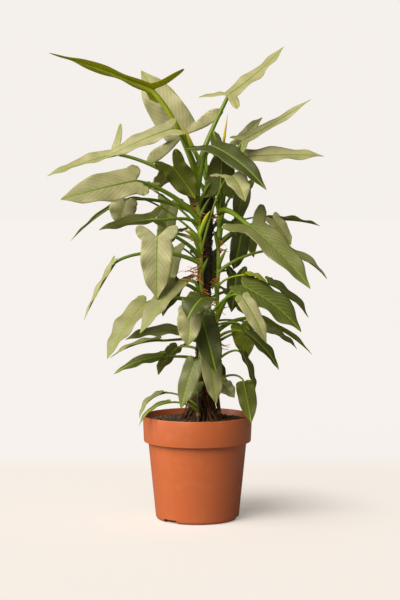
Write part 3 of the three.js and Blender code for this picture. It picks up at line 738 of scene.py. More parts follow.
def blade_material(name, upper):
    """The waxy blade. The upper face is silvery over green, the under face paler and duller."""
    settings = bpy.context.scene.philodendron_leaf
    material, tree, surface, output = new_material(name)
    mottle = use_group(tree, "Mottle", Patch_Scale=24.0, Speck_Scale=650.0)
    veins = use_group(tree, "Leaf veins", Rib_Width=0.0017 if upper else 0.0013, Line_Share=0.2)
    # Silver and warmth are the leaf's own tone; depth is painted shade for leaves that stand in shadow.
    silver, warmth, depth = (attribute(tree, label) for label in ("silver", "warmth", "depth"))
    green = blend_colour(tree, warmth, tuple(settings.green), tuple(settings.yellow))
    cloud = maths(tree, "MULTIPLY", silver, smooth_range(tree, mottle.outputs["Patches"], 0, 1, 0.72, 1.0))
    if not upper:
        green = blend_colour(tree, 0.28, green, tuple(settings.yellow))
        cloud = maths(tree, "MULTIPLY", cloud, 0.55)
    coloured = blend_colour(tree, cloud, green, tuple(settings.silver))
    quilted = blend_colour(tree, maths(tree, "MULTIPLY", veins.outputs["Quilting"], 0.16), coloured,
                           tuple(settings.green))
    side = maths(tree, "MULTIPLY", veins.outputs["Side Veins"], 0.20 if upper else 0.32)
    lined = blend_colour(tree, side, quilted, tuple(settings.silver if upper else settings.midrib))
    # Painted shade: leaves that stand in shadow are darkened towards a near-black green, as far as their depth
    # attribute says.
    shaded = blend_colour(tree, maths(tree, "MULTIPLY", depth, 0.75), lined, (0.010, 0.020, 0.0004, 1))
    edge = smooth_range(tree, attribute(tree, "margin"), 0.95, 1.0, 0.0, 0.6)
    rimmed = blend_colour(tree, edge, shaded, tuple(settings.midrib))
    ribbed = blend_colour(tree, maths(tree, "MULTIPLY", veins.outputs["Midrib"], 0.95), rimmed,
                          tuple(settings.midrib))
    speckled = blend_colour(tree, maths(tree, "MULTIPLY", mottle.outputs["Specks"], 0.10), ribbed,
                            (0.5, 0.5, 0.26, 1))
    relief = maths(tree, "ADD", maths(tree, "MULTIPLY", veins.outputs["Quilting"], 0.6),
                   maths(tree, "MULTIPLY", mottle.outputs["Specks"], 0.12))
    coat(tree, surface, speckled, mottle.outputs["Specks"], (0.36, 0.52) if upper else (0.5, 0.66),
         relief, 0.35, 0.0007)
    surface.inputs["Specular IOR Level"].default_value = 0.45 if upper else 0.25
    sunlit = blend_colour(tree, 0.6, speckled, (0.62, 0.68, 0.006, 1))
    through = add(tree, "ShaderNodeBsdfTranslucent", {"Color": sunlit})
    glow = smooth_range(tree, warmth, 0.4, 1.0, 0.22, 0.5)
    thin = add(tree, "ShaderNodeMixShader", {0: glow, 1: surface.outputs[0], 2: through.outputs[0]})
    tree.links.new(thin.outputs[0], output.inputs["Surface"])
    return material


def stalk_material():
    """Smooth green stalks, yellower on young leaves."""
    settings = bpy.context.scene.philodendron_leaf
    material, tree, surface, _ = new_material("Leaf stalk")
    mottle = use_group(tree, "Mottle", Patch_Scale=35.0, Speck_Scale=900.0)
    young = blend_colour(tree, attribute(tree, "warmth"), tuple(settings.stalk), (0.32, 0.40, 0.008, 1))
    patchy = blend_colour(tree, maths(tree, "MULTIPLY", mottle.outputs["Patches"], 0.45), young,
                          (0.17, 0.24, 0.012, 1))
    coat(tree, surface, patchy, mottle.outputs["Patches"], (0.34, 0.5), mottle.outputs["Specks"], 0.2, 0.0003)
    return material


def stem_material():
    """Green stems with tan rings and scars at the nodes."""
    settings = bpy.context.scene.philodendron_stem
    material, tree, surface, _ = new_material("Climbing stem")
    mottle = use_group(tree, "Mottle", Patch_Scale=60.0, Speck_Scale=700.0)
    step = maths(tree, "DIVIDE", attribute(tree, "along"), settings.node_spacing)
    ring = smooth_range(tree, maths(tree, "PINGPONG", step, 0.5), 0.02, 0.13, 1.0, 0.0)
    tanned = maths(tree, "MULTIPLY", mottle.outputs["Patches"], 0.5)
    green = blend_colour(tree, tanned, tuple(settings.colour), (0.30, 0.27, 0.045, 1))
    height = add(tree, "ShaderNodeSeparateXYZ", {0: add(tree, "ShaderNodeTexCoord").outputs["Object"]})
    woody = smooth_range(tree, height.outputs["Z"], 0.30, 0.44, 0.95, 0.0)
    barked = blend_colour(tree, woody, green, (0.045, 0.025, 0.008, 1))
    ringed = blend_colour(tree, maths(tree, "MULTIPLY", ring, 0.85), barked, tuple(settings.node_colour))
    relief = maths(tree, "ADD", ring, mottle.outputs["Specks"])
    coat(tree, surface, ringed, mottle.outputs["Specks"], (0.45, 0.7), relief, 0.3, 0.0006)
    return material


def fibrous_material(name, colour, bright, patch_scale=90.0, roughness=0.8):
    """Roots and coir: one colour that drifts to a brighter one."""
    material, tree, surface, _ = new_material(name)
    mottle = use_group(tree, "Mottle", Patch_Scale=patch_scale, Speck_Scale=1500.0)
    drifting = blend_colour(tree, mottle.outputs["Patches"], tuple(colour), tuple(bright))
    coat(tree, surface, drifting, mottle.outputs["Specks"], (roughness - 0.15, roughness + 0.1),
         mottle.outputs["Specks"], 0.5, 0.0004)
    return material


def pot_material():
    """Satin moulded plastic with faint flow marks, a fine grain and a little dust."""
    settings = bpy.context.scene.philodendron_pot
    material, tree, surface, _ = new_material("Terracotta plastic")
    mottle = use_group(tree, "Mottle", Patch_Scale=9.0, Speck_Scale=1400.0)
    colour = tuple(settings.colour)
    deeper = (colour[0] * 0.86, colour[1] * 0.8, colour[2] * 0.76, 1)
    dusted = (colour[0] * 1.06, colour[1] * 1.25, colour[2] * 1.5, 1)
    flowed = blend_colour(tree, maths(tree, "MULTIPLY", mottle.outputs["Patches"], 0.4), colour, deeper)
    scuffs = use_group(tree, "Mottle", Patch_Scale=38.0, Speck_Scale=300.0)
    worn = smooth_range(tree, scuffs.outputs["Patches"], 0.55, 1.0, 0.0, 0.22)
    tree.links.new(blend_colour(tree, worn, flowed, dusted), surface.inputs["Base Color"])
    rough = maths(tree, "ADD", smooth_range(tree, mottle.outputs["Patches"], 0, 1, 0.36, 0.46),
                  maths(tree, "MULTIPLY", worn, 0.5))
    tree.links.new(rough, surface.inputs["Roughness"])
    tree.links.new(bump(tree, mottle.outputs["Specks"], 0.10, 0.0002), surface.inputs["Normal"])
    surface.inputs["Specular IOR Level"].default_value = 0.8
    return material


# ---------------------------------------------------------------- pot, soil and pole

def pot_profile(wall):
    """Outline of the pot's wall, from the middle of the underside round to the middle of the floor."""
    band = POT_HEIGHT - BAND_HEIGHT
    outer = [(0, 0), (BASE_RADIUS, 0), (BODY_TOP_RADIUS, band), (RIM_RADIUS - BAND_TAPER, band),
             (RIM_RADIUS, POT_HEIGHT), (RIM_RADIUS - wall, POT_HEIGHT),
             (RIM_RADIUS - BAND_TAPER - wall, band + wall), (BODY_TOP_RADIUS - wall, band + wall),
             (BASE_RADIUS - wall, POT_FLOOR), (0, POT_FLOOR)]
    corner = rounded(outer[:3], FOOT_ROUNDING, 6)
    return corner[:-1] + rounded(outer[2:], LIP_ROUNDING, 3)


def cut_away(piece, cutters):
    """Cuts small solids out of a piece and keeps the result as its mesh."""
    for cutter in cutters:
        modifier = piece.modifiers.new("Cut", "BOOLEAN")
        modifier.operation = "DIFFERENCE"
        modifier.solver = "EXACT"
        modifier.object = cutter
    graph = bpy.context.evaluated_depsgraph_get()
    mesh = bpy.data.meshes.new_from_object(piece.evaluated_get(graph))
    piece.modifiers.clear()
    piece.data = mesh
    for cutter in cutters:
        bpy.data.objects.remove(cutter)


def box_at(name, size, place, turn):
    shape = bmesh.new()
    bmesh.ops.create_cube(shape, size=1, matrix=Matrix.Rotation(turn, 4, "Z") @ Matrix.Translation(place)
                          @ Matrix.Diagonal((*size, 1)))
    mesh = bpy.data.meshes.new(name)
    shape.to_mesh(mesh)
    shape.free()
    return new_piece(name, mesh)


def peg_at(name, radius, height, place):
    shape = bmesh.new()
    bmesh.ops.create_cone(shape, cap_ends=True, segments=32, radius1=radius, radius2=radius, depth=height,
                          matrix=Matrix.Translation(place))
    mesh = bpy.data.meshes.new(name)
    shape.to_mesh(mesh)
    shape.free()
    return new_piece(name, mesh)


def build_pot():
    """The pot with its drain slots and the holes in its floor."""
    settings = bpy.context.scene.philodendron_pot
    pot = new_piece("nursery_pot", revolved("nursery_pot", pot_profile(settings.wall), settings.facets))
    slots = []
    for i in range(SLOT_COUNT):
        turn = math.radians(SLOT_ANGLE + 360 / SLOT_COUNT * i)
        slots.append(box_at(f"slot_{i}", SLOT_SIZE, (BASE_RADIUS, 0, 0), turn))
    holes = []
    for i in range(HOLE_COUNT):
        angle = 2 * math.pi / HOLE_COUNT * i
        place = (HOLE_RING * math.cos(angle), HOLE_RING * math.sin(angle), 0)
        holes.append(peg_at(f"hole_{i}", HOLE_RADIUS, HOLE_CUT, place))
    cut_away(pot, slots + holes)
    pot.data.materials.clear()
    pot.data.materials.append(pot_material())
    settle(pot, "pot")


def soil_height(radius):
    share = min(1.0, radius / (RIM_RADIUS * 0.97))
    return SOIL_EDGE + SOIL_LEVELLING + SOIL_MOUND * (1 - share ** 1.5)


def build_soil():
    """One mass of soil with a rough mounded top, strewn with crumbs."""
    settings = bpy.context.scene.philodendron_soil
    band = POT_HEIGHT - BAND_HEIGHT
    inset = bpy.context.scene.philodendron_pot.wall + SOIL_GAP
    sides = [(0, SOIL_UNDERSIDE), (BASE_RADIUS - inset - 0.001, SOIL_UNDERSIDE),
             (BODY_TOP_RADIUS - inset - 0.001, band), (BODY_TOP_RADIUS - inset, band + 0.004),
             (RIM_RADIUS - BAND_TAPER - inset, band + 0.005)]
    edge = RIM_RADIUS - inset - 0.0009
    radii = [edge * (1 - i / SOIL_RINGS) for i in range(SOIL_RINGS)] + [0]
    top = [(radius, soil_height(radius)) for radius in radii]
    mass = revolved("soil_mass", sides + top, 96, math.radians(80))
    material = fibrous_material("Potting soil", settings.colour, (0.16, 0.11, 0.07, 1), 300.0, 0.9)
    mass.materials.append(material)
    lumps = random.Random(LUMP_SEED)
    for vertex in mass.vertices:
        if vertex.co.z > SOIL_EDGE - 0.001 and vertex.co.xy.length < edge - 0.001:
            vertex.co.z += lumps.uniform(*SOIL_LUMPS)
    face_source = revolved("soil_top", [(edge - 0.002, SOIL_EDGE), *top[1:]], 64)
    crumbs = grown("soil_crumbs", bpy.data.node_groups["Strewn crumbs"], face_source,
                   Density=settings.crumbs, Size=settings.crumb_size, Seed=CRUMB_SEED, Material=material)
    settle(joined("potting_soil", [mass, crumbs]), "soil")


def pole_centre(z):
    x, start, slope = POLE_LEAN
    return x + (z - start) * slope


def mass_radius(z):
    """Radius of the pole with the matted roots and coir that spread round its foot."""
    share = min(1.0, max(0.0, 1 - (z - SOIL_EDGE) / (POLE_FLARE_TOP - SOIL_EDGE)))
    return POLE_RADIUS + (POLE_FLARE_RADIUS - POLE_RADIUS) * share ** 2 + FOOT_MAT * share ** 1.5


def leaned(mesh):
    for vertex in mesh.vertices:
        vertex.co.x += pole_centre(vertex.co.z)
    return mesh


def foot_root(draw):
    """A root that runs down the pole's foot and spreads into the soil."""
    angle, top = draw.uniform(0, 2 * math.pi), draw.uniform(0.235, 0.36)
    size, drift, wobble = draw.uniform(0.0006, 0.0016), draw.uniform(-0.6, 0.6), draw.uniform(0, 6)
    spread = draw.uniform(-0.004, 0.008) + (0.014 if draw.random() < 0.2 else 0)
    strand = []
    for i in range(ROOT_STEPS + 1):
        share = i / ROOT_STEPS
        z = top + (SOIL_EDGE + 0.001 - top) * share
        turn = angle + drift * share + 0.1 * math.sin(7 * share + wobble)
        reach = mass_radius(z) - 0.002 + spread * share ** 2 + 0.0012 * math.sin(9 * share + wobble)
        strand.append(((pole_centre(z) + reach * math.cos(turn), reach * math.sin(turn), z), size))
    return strand


def build_pole():
    """A coir-wrapped pole with roots running down its foot."""
    settings = bpy.context.scene.philodendron_pole
    low, high = POLE_LOW.z + COAT_DEPTH, POLE_HIGH.z - COAT_DEPTH
    levels = [low + (high - low) * i / POLE_LEVELS for i in range(POLE_LEVELS + 1)]
    profile = [(0, low), *[(mass_radius(z) - COAT_DEPTH, z) for z in levels], (0, high)]
    core = leaned(revolved("pole_core", profile, 40))
    dark = fibrous_material("Damp coir", settings.colour, (0.06, 0.034, 0.017, 1), 120.0, 0.85)
    core.materials.append(dark)
    visible = [z for z in levels if z > SOIL_EDGE - 0.004]
    skin = leaned(revolved("pole_skin", [*[(mass_radius(z) - COAT_DEPTH, z) for z in visible], (0, high)], 24))
    fibres = grown("pole_fibres", bpy.data.node_groups["Coir fibres"], skin, Density=settings.fibres,
                   Length=settings.fibre_length, Thickness=0.00032, Seed=FIBRE_SEED, Material=dark)
    brown = fibrous_material("Foot roots", (0.020, 0.008, 0.003, 1), (0.20, 0.065, 0.012, 1), 160.0, 0.7)
    draw = random.Random(FOOT_SEED)
    strands = [foot_root(draw) for _ in range(settings.foot_roots)]
    roots = tubes("foot_roots", strands, brown, 6)
    settle(joined("coir_pole", [core, fibres, roots]), "moss_pole")


# ---------------------------------------------------------------- stems, spears and aerial roots

def stem_strand(radius, path, spacing):
    """Points and thickness along a stem, swollen at each node."""
    strand, travelled = [], 0.0
    points = smooth_path(path, 26)
    for i, point in enumerate(points):
        if i:
            travelled += (point - points[i - 1]).length
        off = abs((travelled / spacing + 0.5) % 1 - 0.5)
        swell = 0.16 * math.exp(-((off / 0.07) ** 2))
        strand.append((point, radius * (0.84 + swell)))
    return strand


def aerial_roots(draw, name):
    """Thin roots that leave a stem in tufts, some hugging the pole and some hanging free."""
    roots = []
    for height, heading, count, length in ROOT_TUFTS[name]:
        for _ in range(count):
            start = stem_point(name, height + draw.uniform(-0.012, 0.012))
            turn = math.radians(heading + draw.uniform(-55, 55))
            far, size = length * draw.uniform(0.5, 1.1), draw.uniform(0.0007, 0.0014)
            curl, phase, droop = draw.uniform(-1.2, 1.2), draw.uniform(0, 6.28), draw.uniform(-0.15, 0.45)
            root, point = [(start, size)], start.copy()
            for i in range(1, ROOT_STEPS + 1):
                share = i / ROOT_STEPS
                bend = turn + curl * share + 0.5 * math.sin(8 * share + phase)
                fall = 0.35 * math.cos(9 * share + phase) - droop
                point = point + Vector((math.cos(bend), math.sin(bend), fall)) * (far / ROOT_STEPS)
                root.append((point, size * (1 - 0.5 * share)))
            roots.append(root)
    return roots


def node_sheaths(name):
    """Short green sheaths that rise from a stem's nodes and lean outwards."""
    sheaths = []
    for height, heading, length in SHEATHS[name]:
        start, turn = stem_point(name, height), math.radians(heading)
        out = Vector((math.cos(turn), math.sin(turn), 0))
        strand = []
        for i in range(ROOT_STEPS + 1):
            share = i / ROOT_STEPS
            rise = Vector((0, 0, length * share))
            strand.append((start + rise + out * (length * 0.5 * share ** 1.3),
                           SHEATH_RADIUS * (1 - share ** 2.5) + 0.0003))
        sheaths.append(strand)
    return sheaths


def build_stems():
    """The climbing stems with their aerial roots and sheaths."""
    settings = bpy.context.scene.philodendron_stem
    bark, leafy = stem_material(), stalk_material()
    rust = fibrous_material("Aerial root", settings.root_colour, (0.62, 0.26, 0.06, 1), 80.0, 0.55)
    for number, (name, (radius, path)) in enumerate(STEMS.items()):
        strand = stem_strand(radius, path, settings.node_spacing)
        stem = tubes(f"stem_{name}_bark", [strand], bark, 20)
        draw = random.Random(AERIAL_SEED + number)
        roots = tubes(f"stem_{name}_roots", aerial_roots(draw, name), rust, 6)
        sheaths = tubes(f"stem_{name}_sheaths", node_sheaths(name), leafy, 10)
        settle(joined(f"stem_{name}", [stem, roots, sheaths]), f"vine_{name}")


def young_material():
    """Fresh green that turns yellow towards the tip."""
    material, tree, surface, _ = new_material("Rolled young leaf")
    mottle = use_group(tree, "Mottle", Patch_Scale=45.0, Speck_Scale=900.0)
    tip = smooth_range(tree, attribute(tree, "along"), 0.01, 0.1)
    base = blend_colour(tree, tip, (0.30, 0.46, 0.006, 1), (0.85, 0.56, 0.02, 1))
    patchy = blend_colour(tree, maths(tree, "MULTIPLY", mottle.outputs["Patches"], 0.3), base,
                          (0.28, 0.36, 0.03, 1))
    coat(tree, surface, patchy, mottle.outputs["Specks"], (0.35, 0.5), mottle.outputs["Specks"], 0.15, 0.0003)
    return material


def build_spears():
    """The rolled young leaves and the sheaths that they leave."""
    material = young_material()
    for name, stem, height, tip, radius in SPEARS:
        foot, end = stem_point(stem, height), Vector(tip)
        strand = []
        for i in range(SPEAR_STEPS + 1):
            share = i / SPEAR_STEPS
            swell = (0.55 + 1.5 * share * (1 - share)) * (1 - share ** 3) + 0.03
            bow = Vector((0, 0, 0.006 * math.sin(math.pi * share)))
            strand.append((foot.lerp(end, share) + bow, radius * swell * 0.95))
        mesh = tubes(f"rolled_{name}", [strand], material, 14)
        settle(new_piece(f"rolled_{name}", mesh), name)


# ---------------------------------------------------------------- leaves

def half_outline(length, width, ear, spread):
    """Rows of one flat half blade, from the ear's end to the tip.

    Each row is (inner point, outer point, ear share, station): X is across the leaf, Y along it.
    """
    half = width / 2.06
    waist = np.array([half * 0.95, length * 0.05])
    angle = math.radians(spread)
    end = np.array([math.sin(angle), math.cos(angle)]) * ear
    if ear < GROWN_EAR:
        end[0] += half * 0.35
    middle = waist / 2
    axis = (middle - end) / np.linalg.norm(middle - end)
    across = np.array([-axis[1], axis[0]])
    if across @ waist < 0:
        across = -across
    level = waist / np.linalg.norm(waist)
    rows = []
    for i in range(EAR_ROWS):
        q = (i / EAR_ROWS) ** 1.6
        centre = end + (middle - end) * q
        reach = np.linalg.norm(waist) / 2 * math.sqrt(1 - (1 - q) ** 2)
        way = across * (1 - q) + level * q
        way = way / np.linalg.norm(way) * reach
        rows.append((centre - way, centre + way, (1 - q) ** 2, q - 1))
    for i in range(BODY_ROWS + 1):
        t = i / BODY_ROWS
        t = 1 - (1 - t) ** 1.15
        point = min(1.0, max(0.0, (t - 0.72) / 0.28))
        narrow = 1 - 0.42 * point * point * (3 - 2 * point)
        margin = half * (0.95 + 0.05 * min(1, t * 5)) * (1 - t) ** 0.75 * (1 + 1.1 * t) * narrow
        outer = np.array([margin, t * length + 0.05 * length * (1 - t)])
        rows.append((np.array([0, t * length]), outer, 0.0, t))
    return rows


class Blade:
    """A leaf's own frame and the way its midrib bends."""

    def __init__(self, leaf):
        self.name, self.stem, height, junction, tip, facing, width, ear, fold, self.arch = leaf[:10]
        self.height, self.width, self.ear = metres((height, width, ear))
        extras = leaf[10:]
        grown_up = self.ear >= GROWN_EAR
        self.spread = extras[0] if extras else (EAR_SPREAD_GROWN if grown_up else EAR_SPREAD_YOUNG)
        self.lift = extras[1] if len(extras) > 1 else 0.0
        self.fold = math.radians(fold)
        self.start = Vector(metres(junction))
        self.along = Vector(metres(tip)) - self.start
        self.length = self.along.length
        self.along.normalize()
        self.up = Vector(facing)
        self.up = (self.up - self.along * self.up.dot(self.along)).normalized()
        self.across = self.along.cross(self.up)
        stalk_radius = min(STALK_MOST, max(STALK_LEAST, STALK_SLENDERNESS * self.length))
        self.stalk_radius = STALK_FULLNESS * stalk_radius

    def midrib(self, y):
        """The point on the midrib at a distance from the junction, and the blade's normal there."""
        t = max(0.0, y / self.length)
        slope = 4 * self.arch * (1 - 2 * t)
        normal = (self.up - self.along * slope).normalized()
        if y < 0:
            return self.start + (self.along + self.up * 4 * self.arch).normalized() * y, normal
        return self.start + self.along * y + self.up * self.length * 4 * self.arch * t * (1 - t), normal


def blade_mesh(blade, number, upper, under):
    """The blade as a thin closed solid whose veins, quilting and waved margin are in its shape."""
    settings = bpy.context.scene.philodendron_leaf
    draw = random.Random(settings.seed + number)
    rows = half_outline(blade.length, blade.width, blade.ear, blade.spread)
    vein_count = 7 + 5 * blade.length / 0.2
    vertices, faces, skins = [], [], []
    columns = {"rib": [], "vein": [], "margin": []}
    index = {}

    def vertex(face, side, i, k, point, rib, vein, margin):
        shared = k == 0 and i >= EAR_ROWS
        end = i in (0, len(rows) - 1)
        key = (face, 0 if shared or i == len(rows) - 1 else side, i, 0 if end else k)
        if key not in index:
            index[key] = len(vertices)
            vertices.append(point)
            for label, value in (("rib", rib), ("vein", vein), ("margin", margin)):
                columns[label].append(value)
        return index[key]

    grids = {}
    for side in (1, -1):
        waves = [(draw.uniform(1.6, 2.6), draw.uniform(0, 6.28), 1.0),
                 (draw.uniform(3, 4.5), draw.uniform(0, 6.28), 0.2)]
        for i, (inner, outer, share, station) in enumerate(rows):
            for k in range(COLUMNS + 1):
                s = k / COLUMNS
                x, y = inner + (outer - inner) * s
                point, normal = blade.midrib(y)
                in_ear = i < EAR_ROWS
                from_rib = abs(s - 0.5) * np.linalg.norm(outer - inner) if in_ear else abs(x)
                reach = abs(2 * s - 1) if in_ear else s
                ease = min(1.0, (1 - max(station, 0)) * 4)
                wave = sum(size * math.sin(count * 2 * math.pi * station + phase)
                           for count, phase, size in waves)
                ripple = settings.ripple * blade.width * reach ** 2 * wave * ease * (0.3 if in_ear else 1.0)
                if in_ear:
                    vein = vein_count * 0.5 * (-station + 0.35 * reach)
                else:
                    vein = vein_count * (station - 0.30 * reach ** 1.3)
                quilt = abs((vein % 1) - 0.5) * 2
                puff = PUFF * (1 - quilt) * math.sin(math.pi * min(1, s)) * ease
                groove = -GROOVE * math.exp(-(from_rib / GROOVE_WIDTH) ** 2)
                height = (x * math.sin(blade.fold) - 0.15 * x * x / blade.width
                          + blade.lift * blade.ear * share + ripple + puff + groove)
                flat = point + blade.across * (side * x * math.cos(blade.fold)) + normal * height
                tilt = blade.fold if x > 0 else 0
                outward = normal * math.cos(tilt) - blade.across * (side * math.sin(tilt))
                thin = settings.thickness * (1 - 0.6 * (reach if reach > 0.9 else 0))
                for face in (1, -1):
                    grids[face, side, i, k] = vertex(face, side, i, k, flat + outward * (face * thin / 2),
                                                     from_rib, vein, reach)

    def quad(corners, skin):
        ring = [v for n, v in enumerate(corners) if v != corners[n - 1]]
        if len(set(ring)) >= 3:
            faces.append(ring)
            skins.append(skin)

    last = len(rows) - 1
    for side in (1, -1):
        for i in range(last):
            for k in range(COLUMNS):
                for face in (1, -1):
                    corners = [grids[face, side, i, k], grids[face, side, i, k + 1],
                               grids[face, side, i + 1, k + 1], grids[face, side, i + 1, k]]
                    quad(corners if side * face > 0 else corners[::-1], 0 if face > 0 else 1)
            for k, shown in ((COLUMNS, True), (0, i < EAR_ROWS)):
                if not shown:
                    continue
                wall = [grids[-1, side, i, k], grids[-1, side, i + 1, k], grids[1, side, i + 1, k],
                        grids[1, side, i, k]]
                quad(wall if side * (1 if k else -1) > 0 else wall[::-1], 1)
    mesh = mesh_of(f"{blade.name}_blade", vertices, faces)
    mesh.materials.append(upper)
    mesh.materials.append(under)
    mesh.polygons.foreach_set("material_index", skins)
    for label, values in columns.items():
        mesh.attributes.new(label, "FLOAT", "POINT").data.foreach_set("value", values)
    return mesh


def stalk_strand(blade):
    """The stalk rises from the stem, bends over to the junction and runs on as the rib beneath."""
    foot = stem_point(blade.stem, blade.height)
    reach = (blade.start - foot).length
    leave = ((blade.start - foot).normalized() + Vector((0, 0, 0.6))).normalized()
    start, normal = blade.midrib(0)
    end = start - normal * (blade.stalk_radius * 0.7)
    first = foot + leave * (0.35 * reach)
    second = end - blade.along * (0.22 * reach) - blade.up * (0.12 * reach)
    strand = []
    for i in range(STALK_STEPS + 1):
        t = i / STALK_STEPS
        point = (foot * (1 - t) ** 3 + first * 3 * t * (1 - t) ** 2
                 + second * 3 * t * t * (1 - t) + end * t ** 3)
        strand.append((point, blade.stalk_radius * (0.95 + 0.6 * (1 - t) ** 2)))
    for i in range(1, RIB_STEPS + 1):
        t = 0.93 * (i / RIB_STEPS)
        point, normal = blade.midrib(t * blade.length)
        radius = blade.stalk_radius * (0.9 * (1 - t) ** 1.1 + 0.05)
        strand.append((point - normal * (radius * 0.65 + 0.0002), radius))
    return strand


def build_leaves():
    """Every leaf as one piece of blade and stalk, toned by its kind."""
    upper, under = blade_material("Blade upper face", True), blade_material("Blade under face", False)
    stalk = stalk_material()
    kind_of = {number: kind for kind, numbers in KINDS.items() for number in numbers}
    for number, leaf in enumerate(LEAVES + BACK_LEAVES, start=1):
        blade = Blade(leaf)
        draw = random.Random(TONE_SEED + number)
        kind = TONES[kind_of.get(number, "grey")]
        tone = [min(1.0, max(0.0, share + draw.uniform(-0.07, 0.07))) for share in kind]
        blade_part = blade_mesh(blade, number, upper, under)
        stalk_part = tubes(f"{blade.name}_stalk", [stalk_strand(blade)], stalk, 10)
        # The third tone value, depth, is painted shade; it goes onto blade and stalk alike.
        for mesh in (blade_part, stalk_part):
            for label, value in zip(("silver", "warmth", "depth"), tone):
                layer = mesh.attributes.new(label, "FLOAT", "POINT")
                layer.data.foreach_set("value", [value] * len(mesh.vertices))
        node = blade.name if leaf in LEAVES else "vine_back"
        settle(joined(f"grown_{blade.name}", [blade_part, stalk_part]), node)


# ---------------------------------------------------------------- stage

def floor_material():
    """Pale paper that shows brighter than it throws light back, warmer round the pot than further out."""
    settings = bpy.context.scene.philodendron_stage
    material, tree, surface, _ = new_material("Pale paper")
    place = add(tree, "ShaderNodeTexCoord").outputs["Object"]
    back = smooth_range(tree, add(tree, "ShaderNodeSeparateXYZ", {0: place}).outputs["Y"], 0.5, 0.95)
    away = add(tree, "ShaderNodeVectorMath", {0: place}, operation="LENGTH")
    clear = smooth_range(tree, away.outputs["Value"], 0.17, 0.52, 0.0, 0.92)
    seen = add(tree, "ShaderNodeLightPath").outputs["Is Camera Ray"]
    glow = blend_colour(tree, clear, tuple(settings.floor),
                        blend_colour(tree, back, tuple(settings.near_floor), tuple(settings.far_floor)))
    shaded = blend_colour(tree, clear, (0.582, 0.57, 0.586, 1), (0, 0, 0, 1))
    tree.links.new(blend_colour(tree, seen, (0.30, 0.28, 0.26, 1), shaded), surface.inputs["Base Color"])
    tree.links.new(blend_colour(tree, seen, (0, 0, 0, 1), glow), surface.inputs["Emission Color"])
    surface.inputs["Emission Strength"].default_value = 1.0
    surface.inputs["Roughness"].default_value = 0.95
    surface.inputs["Specular IOR Level"].default_value = 0.05
    return material


def soft_room(settings):
    """A world that looks pale and gives a dimmer light than it shows."""
    world = bpy.data.worlds.new("Soft room")
    world.use_nodes = True
    tree = world.node_tree
    fill = tree.nodes["Background"]
    fill.inputs[0].default_value = (1.0, 0.96, 0.84, 1)
    fill.inputs[1].default_value = settings.fill
    shown = add(tree, "ShaderNodeBackground", {0: tuple(settings.backdrop), 1: 1.0})
    seen = add(tree, "ShaderNodeLightPath").outputs["Is Camera Ray"]
    both = add(tree, "ShaderNodeMixShader", {0: seen, 1: fill.outputs[0], 2: shown.outputs[0]})
    tree.links.new(both.outputs[0], tree.nodes["World Output"].inputs["Surface"])
    bpy.context.scene.world = world


def aim(piece, place, target=(0, 0, 0.5)):
    piece.location = place
    piece.rotation_euler = (Vector(target) - Vector(place)).to_track_quat("-Z", "Y").to_euler()


def build_stage():
    """The floor, the room's soft light, two lights and the camera."""
    settings = bpy.context.scene.philodendron_stage
    floor = bmesh.new()
    bmesh.ops.create_circle(floor, cap_ends=True, segments=96, radius=FLOOR_RADIUS)
    mesh = bpy.data.meshes.new("floor")
    floor.to_mesh(mesh)
    floor.free()
    mesh.materials.append(floor_material())
    new_piece("floor", mesh)
    soft_room(settings)

    sun = bpy.data.lights.new("key_light", "SUN")
    sun.energy = settings.key_power
    sun.angle = settings.key_softness
    sun.color = (1.0, 0.93, 0.82)
    aim(new_piece("key_light", sun), KEY_PLACE)

    strip = bpy.data.lights.new("side_light", "AREA")
    strip.shape = "RECTANGLE"
    strip.size, strip.size_y = STRIP_SIZE
    strip.energy = settings.side_power
    strip.color = (1.0, 0.93, 0.84)
    aim(new_piece("side_light", strip), STRIP_PLACE, STRIP_TARGET)

    scene = bpy.context.scene
    scene.view_settings.view_transform = "Standard"
    lens = bpy.data.cameras.new("camera")
    lens.lens = settings.lens
    camera = new_piece("camera", lens)
    camera.location = (CAMERA_OFFSET, -settings.distance, settings.height)
    camera.rotation_euler = Euler((math.pi / 2 - settings.pitch, 0, 0))
    scene.camera = camera


# ---------------------------------------------------------------- add-on classes

class PHILODENDRON_OT_stage(bpy.types.Operator):
    """Make the floor, the backdrop, the lights and the camera"""

    bl_idname = "philodendron.stage"
    bl_label = "Stage"

    def execute(self, context):
        build_stage()
        return {"FINISHED"}


class PHILODENDRON_OT_pot(bpy.types.Operator):
    """Make the nursery pot"""

    bl_idname = "philodendron.pot"
    bl_label = "Pot"

    def execute(self, context):
        build_pot()
        return {"FINISHED"}


class PHILODENDRON_OT_soil(bpy.types.Operator):
    """Make the soil and its crumbs"""

    bl_idname = "philodendron.soil"
    bl_label = "Soil"

    def execute(self, context):
        build_soil()
        return {"FINISHED"}


class PHILODENDRON_OT_pole(bpy.types.Operator):
    """Make the coir pole and the roots at its foot"""

    bl_idname = "philodendron.pole"
    bl_label = "Moss pole"

    def execute(self, context):
        build_pole()
        return {"FINISHED"}


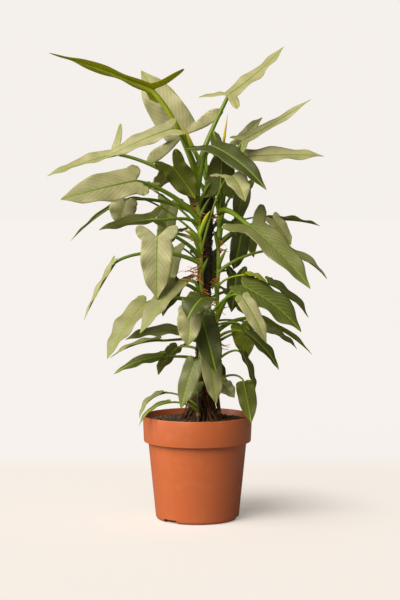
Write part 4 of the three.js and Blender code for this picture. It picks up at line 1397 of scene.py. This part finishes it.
class PHILODENDRON_OT_stems(bpy.types.Operator):
    """Make the climbing stems and their aerial roots"""

    bl_idname = "philodendron.stems"
    bl_label = "Stems"

    def execute(self, context):
        build_stems()
        return {"FINISHED"}


class PHILODENDRON_OT_spears(bpy.types.Operator):
    """Make the rolled young leaves"""

    bl_idname = "philodendron.spears"
    bl_label = "Young leaves"

    def execute(self, context):
        build_spears()
        return {"FINISHED"}


class PHILODENDRON_OT_leaves(bpy.types.Operator):
    """Make every leaf with its stalk"""

    bl_idname = "philodendron.leaves"
    bl_label = "Leaves"

    def execute(self, context):
        build_leaves()
        return {"FINISHED"}


OPERATORS = (PHILODENDRON_OT_stage, PHILODENDRON_OT_pot, PHILODENDRON_OT_soil, PHILODENDRON_OT_pole,
             PHILODENDRON_OT_stems, PHILODENDRON_OT_spears, PHILODENDRON_OT_leaves)


class PHILODENDRON_PT_panel(bpy.types.Panel):
    """Lists the settings and the pieces that can be made"""

    bl_label = "Potted philodendron"
    bl_idname = "PHILODENDRON_PT_panel"
    bl_space_type = "VIEW_3D"
    bl_region_type = "UI"
    bl_category = "Philodendron"

    def draw(self, context):
        for name, settings in SETTINGS.items():
            box = self.layout.box()
            for prop in settings.__annotations__:
                box.prop(getattr(context.scene, name), prop)
        for made in OPERATORS:
            self.layout.operator(made.bl_idname)


def register():
    for made in (*SETTINGS.values(), *OPERATORS, PHILODENDRON_PT_panel):
        bpy.utils.register_class(made)
    for name, settings in SETTINGS.items():
        setattr(bpy.types.Scene, name, PointerProperty(type=settings))


def unregister():
    for name in SETTINGS:
        delattr(bpy.types.Scene, name)
    for made in (PHILODENDRON_PT_panel, *OPERATORS[::-1], *list(SETTINGS.values())[::-1]):
        bpy.utils.unregister_class(made)


def main():
    register()
    for build_tree in (tube_tree, crumb_tree, fibre_tree, mottle_group, vein_group):
        build_tree()
    bpy.ops.philodendron.stage()
    bpy.ops.philodendron.pot()
    bpy.ops.philodendron.soil()
    bpy.ops.philodendron.pole()
    bpy.ops.philodendron.stems()
    bpy.ops.philodendron.spears()
    bpy.ops.philodendron.leaves()


if __name__ == "__main__":
    main()
